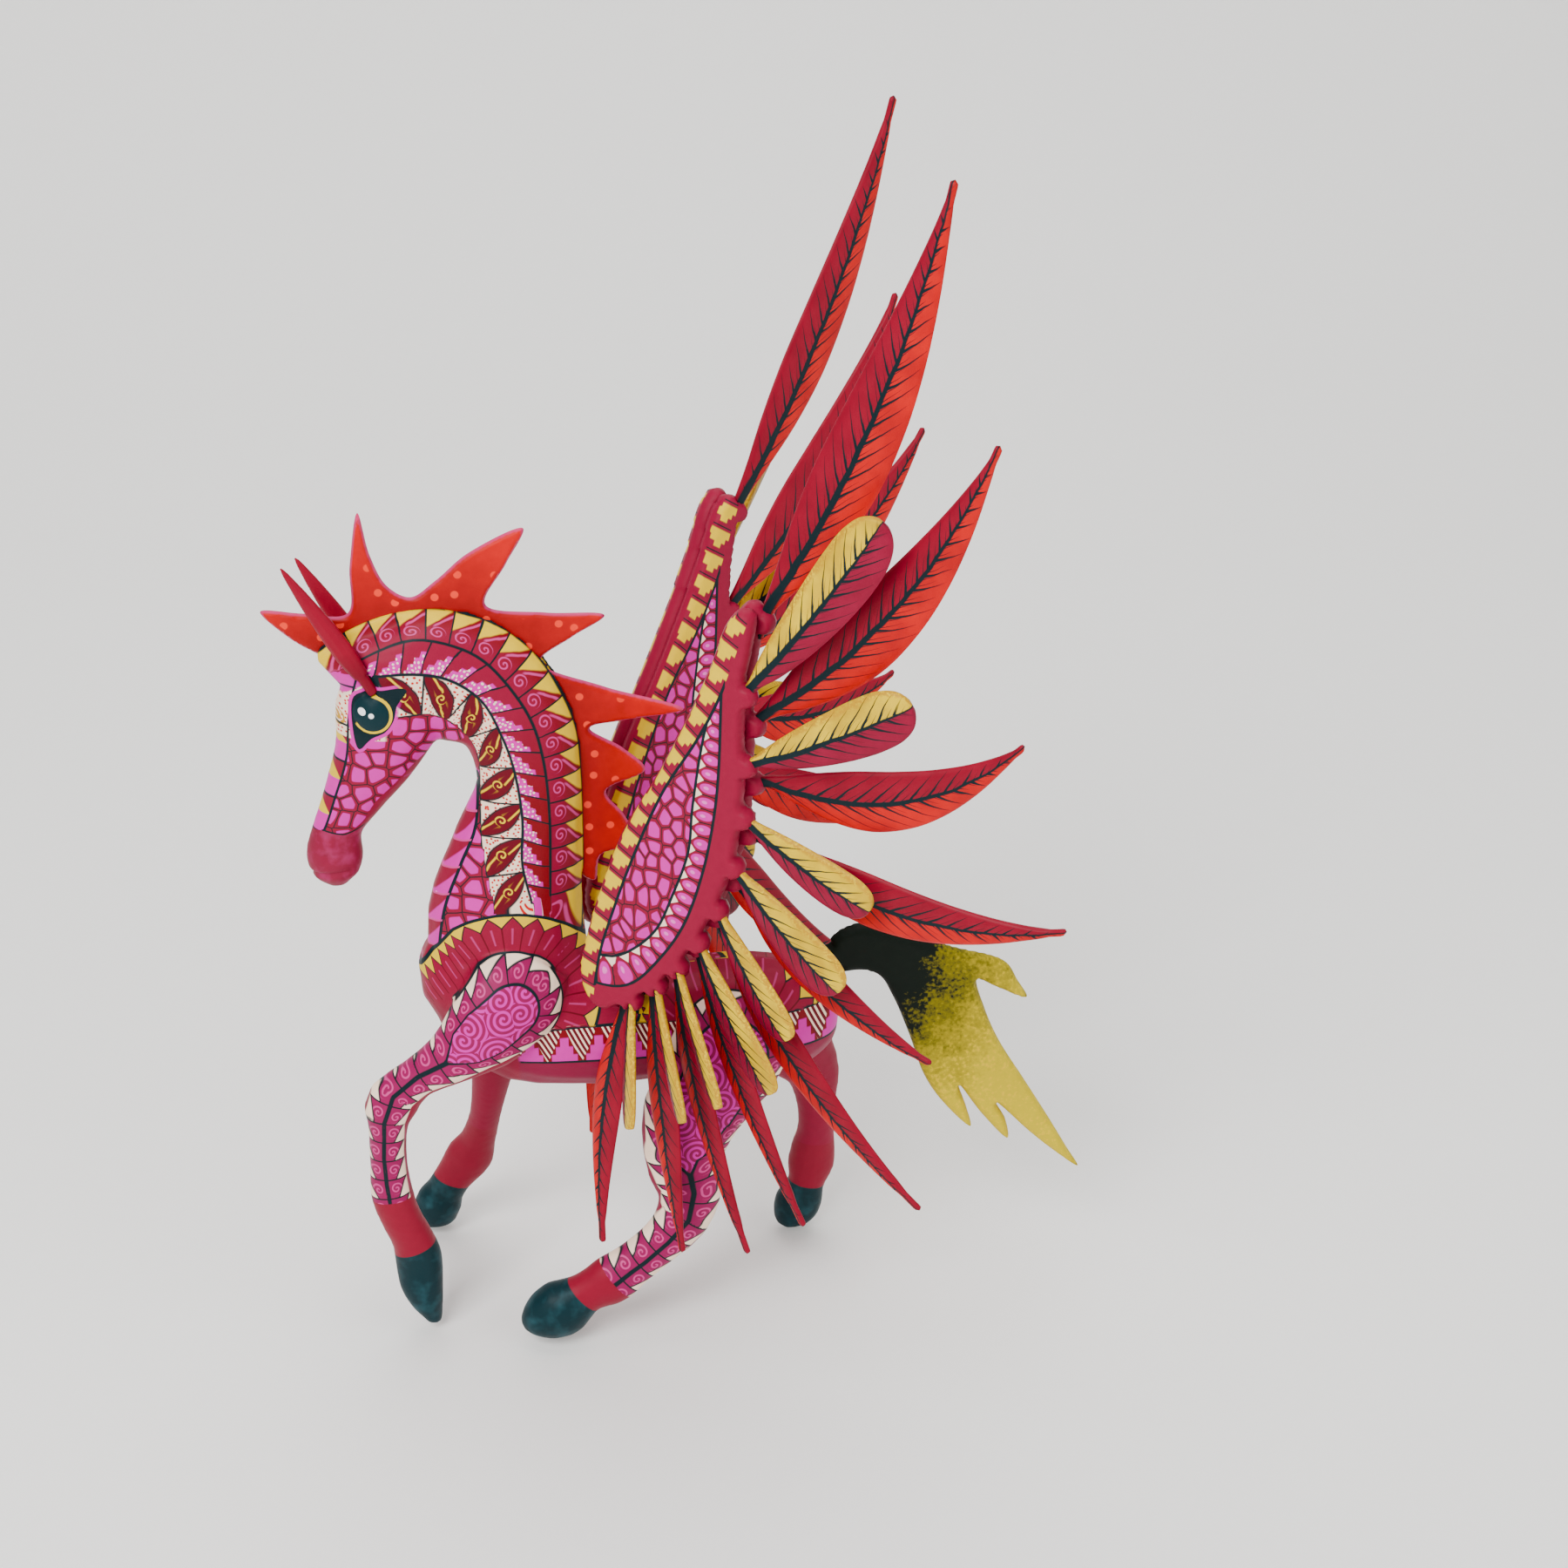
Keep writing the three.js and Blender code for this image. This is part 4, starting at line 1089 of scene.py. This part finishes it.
def wing_board(frame, side_name, material):
    """One wing's board in two layers, each with its own scalloped rim."""
    side = -1 if side_name == "left" else 1
    node = frame["nodes"][f"{side_name}_wing_board"]
    points, triangles = mesh_arrays(node)
    trailing = np.array([math.cos(WING_FLARE), side * math.sin(WING_FLARE), 0])
    up = np.array([0, 0, 1.0])
    out = np.array([-side * trailing[1], side * trailing[0], 0])
    origin = np.array([WING_ROOT[0], side * WING_ROOT[1], WING_ROOT[2]])
    all_points, all_faces, edges, count = [], [], [], 0
    for facing in (1, -1):
        outline, _ = flat_side(points, triangles, out * facing)
        flat = np.stack([(outline - origin) @ trailing, (outline - origin) @ up], 1)
        body, faces, edge = pillow(flat, 1.0, BOARD_THICKNESS / 4, 1.6)
        shift = facing * BOARD_THICKNESS / 4
        all_points.append(body + [0, 0, shift])
        all_faces.append(faces + count)
        edges.append(edge)
        count += len(body)
    local = np.vstack(all_points)
    plane = local[:, :2]
    world = origin + local @ np.stack([trailing, up, out])
    strip_along, strip = along_curve(plane, STRIP_LINE)
    field_along, field = along_curve(plane, FIELD_LINE)
    cells = along_curve(plane, CELLS_LINE)[1]
    faces = np.vstack(all_faces)
    if np.dot(np.cross(trailing, up), out) < 0:
        faces = faces[:, ::-1]
    attributes = {
        "wing_a": local[:, 0], "wing_b": local[:, 1],
        "strip": strip, "strip_along": strip_along,
        "field": -field, "field_along": field_along, "cells": -cells,
        "wing_face": (np.abs(local[:, 2]) > BOARD_THICKNESS / 2 - 0.7).astype(float),
    }
    board = new_object(f"{side_name}_wing_carved", world, faces, attributes, material)
    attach(board, f"{side_name}_wing")
    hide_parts(f"{side_name}_wing_board")
    return board


def feather(frame, side, kind, number, material):
    """A thin cambered blade with rounded edges in place of the flat one."""
    name = f"{side}_{kind}_feather_{number:02d}"
    points, triangles = mesh_arrays(frame["nodes"][name])
    outline, _ = flat_side(points, triangles, np.array([0, -1, 0.02]))
    centre = np.mean([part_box(f"{side}_wing_board")[i] for i in (0, 1)], axis=0) / MM
    spread = np.linalg.norm(outline[:, None] - outline[None], axis=2)
    ends = np.unravel_index(np.argmax(spread), spread.shape)
    tip, foot = sorted(ends, key=lambda i: -np.linalg.norm(outline[i] - centre))
    beside = min((foot - 1, (foot + 1) % len(outline)),
                 key=lambda i: np.linalg.norm(outline[i] - outline[foot]))
    foot_middle = (outline[foot] + outline[beside]) / 2
    mid_plane = points.mean(0)
    along = outline[tip] - foot_middle
    length = np.linalg.norm(along)
    along /= length
    corner = outline - foot_middle
    normal = np.linalg.svd(corner - corner.mean(0))[2][2]
    across = np.cross(normal, along)
    if across @ np.cross([0, -1, 0], along) < 0:
        across = -across
    normal = np.cross(along, across)
    u, w = corner @ along, corner @ across
    sink = (mid_plane - foot_middle) @ normal
    edges = []
    for sign in (1, -1):
        start, avoid = (foot, beside) if sign * w[foot] > 0 else (beside, foot)
        keep = chain(len(u), start, tip, avoid)
        curve = smooth_curve(np.stack([u[keep], w[keep]], 1), 1.0, closed=False)
        order = np.argsort(curve[:, 0], kind="stable")
        edges.append(curve[order])
    s = (1 - np.cos(np.linspace(0, 1, FEATHER_ROWS) * math.pi)) / 2
    s = 0.6 * s + 0.4 * np.linspace(0, 1, FEATHER_ROWS)
    rows = s * length
    upper = np.interp(rows, edges[0][:, 0], edges[0][:, 1])
    lower = np.interp(rows, edges[1][:, 0], edges[1][:, 1])
    blunt = np.sqrt(np.clip(1 - (1 - (length - rows) / TIP_RADIUS).clip(0) ** 2, 0, 1)) * TIP_RADIUS
    middle, half = (upper + lower) / 2, np.maximum((upper - lower) / 2, blunt * (rows > length / 2))
    half = np.maximum(half, 0.02)
    v = np.sin(np.linspace(-1, 1, FEATHER_COLUMNS) * math.pi / 2)
    grid_u = np.repeat(rows, len(v))
    grid_v = np.tile(v, len(rows))
    grid_half = np.repeat(half, len(v))
    thinning = np.clip(grid_half / 1.6, 0.3, 1)
    thick = FEATHER_HALF_THICKNESS * np.sqrt(np.maximum(1 - grid_v ** 4, 0)) * thinning
    camber = 0.05 * grid_half * (1 - grid_v ** 2) * np.clip(grid_u / 12, 0, 1)
    flat_across = np.repeat(middle, len(v)) + grid_v * grid_half
    skins = [foot_middle + np.outer(grid_u, along) + np.outer(flat_across, across)
             + np.outer(sink + camber + sign * thick, normal) for sign in (1, -1)]
    count, columns = len(grid_u), len(v)
    faces = []
    for i in range(len(rows) - 1):
        for j in range(columns - 1):
            a = i * columns + j
            quad = (a, a + columns, a + columns + 1, a + 1)
            faces.append(quad)
            faces.append(tuple(q + count for q in reversed(quad)))
    loop = list(range(columns)) + [i * columns + columns - 1 for i in range(1, len(rows))]
    loop += [(len(rows) - 1) * columns + j for j in range(columns - 2, -1, -1)]
    loop += [i * columns for i in range(len(rows) - 2, 0, -1)]
    for a, b in zip(loop, loop[1:] + loop[:1]):
        faces.append((b, a, a + count, b + count))
    seed = number + (0 if side == "left" else 20) + (40 if kind == "round" else 0)
    attributes = {
        "feather_u": np.tile(grid_u, 2),
        "feather_v": np.tile(grid_v, 2),
        "feather_half": np.tile(grid_half, 2),
        "feather_length": np.full(2 * count, length),
        "feather_seed": np.full(2 * count, seed),
    }
    blade = new_object(f"{name}_carved", np.vstack(skins), faces, attributes, material)
    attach(blade, f"{side}_wing")
    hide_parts(name)
    return blade


def chain(count, start, end, avoid):
    """Indices round a ring from start to end, going the way that misses one of them."""
    step = 1 if (start + 1) % count != avoid else -1
    out = [start]
    while out[-1] != end:
        out.append((out[-1] + step) % count)
    return out


def flat_board(frame, node, body, material, name, attributes, radius, half_thickness):
    """The mane or the tail: an upright board in the horse's middle plane."""
    points, triangles = mesh_arrays(frame["nodes"][node])
    outline, _ = flat_side(points, triangles, np.array([0, -1.0, 0]))
    local, faces, edge = pillow(outline[:, [0, 2]], 0.8, half_thickness, radius)
    world = np.stack([local[:, 0], -local[:, 2], local[:, 1]], 1)
    values = {"edge": edge, **attributes(local[:, :2])}
    board = new_object(name, world, faces, values, material)
    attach(board, body)
    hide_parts(node)
    return board


def mane_coordinates(flat):
    return {"mane_reach": along_line(flat, CREST)[1]}


def tail_coordinates(flat):
    return {"tail_reach": np.hypot(flat[:, 0] - TAIL_ROOT[0], flat[:, 1] - TAIL_ROOT[1])}


def ear(frame, name, material):
    """The whittled ear, its facets worn smooth."""
    parts = [mesh_arrays(frame["nodes"][name])]
    points, quads = voxel_skin(f"{name}_rough", parts, 0.35)
    points = smoothed(points, quads, 10)
    blade = new_object(f"{name}_carved", points, quads, {}, material)
    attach(blade, name)
    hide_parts(name)
    return blade


# ================================================================ stage
def stage():
    """A pale floor that curves up behind, soft lamps and a white world."""
    paint = Paint("studio_paper", (0.9, 0.89, 0.87))
    material = paint.finish(roughness=0.9, wear=0.03, relief=0.02)
    rows = [(-1.2, 0), (0.5, 0), (0.7, 0.01), (0.85, 0.05), (0.95, 0.14), (1.0, 0.3), (1.0, 2.2)]
    profile = smooth_curve(rows, 0.03, closed=False)
    points = [(x, y, z) for y, z in profile / MM for x in (-2500, 2500)]
    faces = [(2 * i, 2 * i + 1, 2 * i + 3, 2 * i + 2) for i in range(len(profile) - 1)]
    floor = new_object("studio_sweep", points, faces, {}, material)
    lamps = [
        ("key_lamp", (-0.6, -1.0, 1.1), 0.8, 30),
        ("fill_lamp", (1.1, -0.8, 0.6), 1.2, 9),
        ("top_lamp", (0.1, 0.3, 1.6), 1.3, 18),
    ]
    for name, place, size, power in lamps:
        light = bpy.data.lights.new(name, "AREA")
        light.size = size
        light.energy = power
        lamp = bpy.data.objects.new(name, light)
        lamp.location = place
        lamp.rotation_euler = (Vector((0, 0, 0.15)) - Vector(place)).to_track_quat("-Z", "Y").to_euler()
        bpy.context.scene.collection.objects.link(lamp)
    world = bpy.data.worlds.new("studio")
    world.use_nodes = True
    world.node_tree.nodes["Background"].inputs[0].default_value = (1, 1, 1, 1)
    world.node_tree.nodes["Background"].inputs[1].default_value = 0.34
    bpy.context.scene.world = world


def camera():
    data = bpy.data.cameras.new("camera")
    data.lens = CAMERA_LENS
    data.sensor_width = 36
    data.clip_start = 0.01
    obj = bpy.data.objects.new("camera", data)
    target = Vector(CAMERA_TARGET)
    direction = Vector((
        math.sin(CAMERA_AZIMUTH) * math.cos(CAMERA_ELEVATION),
        -math.cos(CAMERA_AZIMUTH) * math.cos(CAMERA_ELEVATION),
        math.sin(CAMERA_ELEVATION),
    ))
    obj.location = target + direction * CAMERA_DISTANCE
    obj.rotation_euler = (-direction).to_track_quat("-Z", "Y").to_euler()
    bpy.context.scene.collection.objects.link(obj)
    bpy.context.scene.camera = obj


def main():
    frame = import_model()
    carved_horse(frame, body_paint())
    wing = wing_paint()
    for side in ("left", "right"):
        wing_board(frame, side, wing)
    blades = {
        "long": feather_paint("painted_long_feather", CRIMSON, BRIGHT_RED, LINE, False),
        "round": feather_paint("painted_round_feather", YELLOW, BURGUNDY, LINE, True),
    }
    for side, kind, number in FEATHERS:
        feather(frame, side, kind, number, blades[kind])
    flat_board(frame, "mane", "carving", mane_paint(), "mane_carved",
               mane_coordinates, 1.2, 1.3)
    flat_board(frame, "tail", "tail", tail_paint(), "tail_carved",
               tail_coordinates, 2.4, 2.5)
    ears = ear_paint()
    for name in ("left_ear", "right_ear"):
        ear(frame, name, ears)
    wood = bare_wood()
    for leg in LEGS:
        peg = frame["nodes"][f"{leg}_peg"]
        peg.data.materials.clear()
        peg.data.materials.append(wood)
    stage()
    camera()


main()
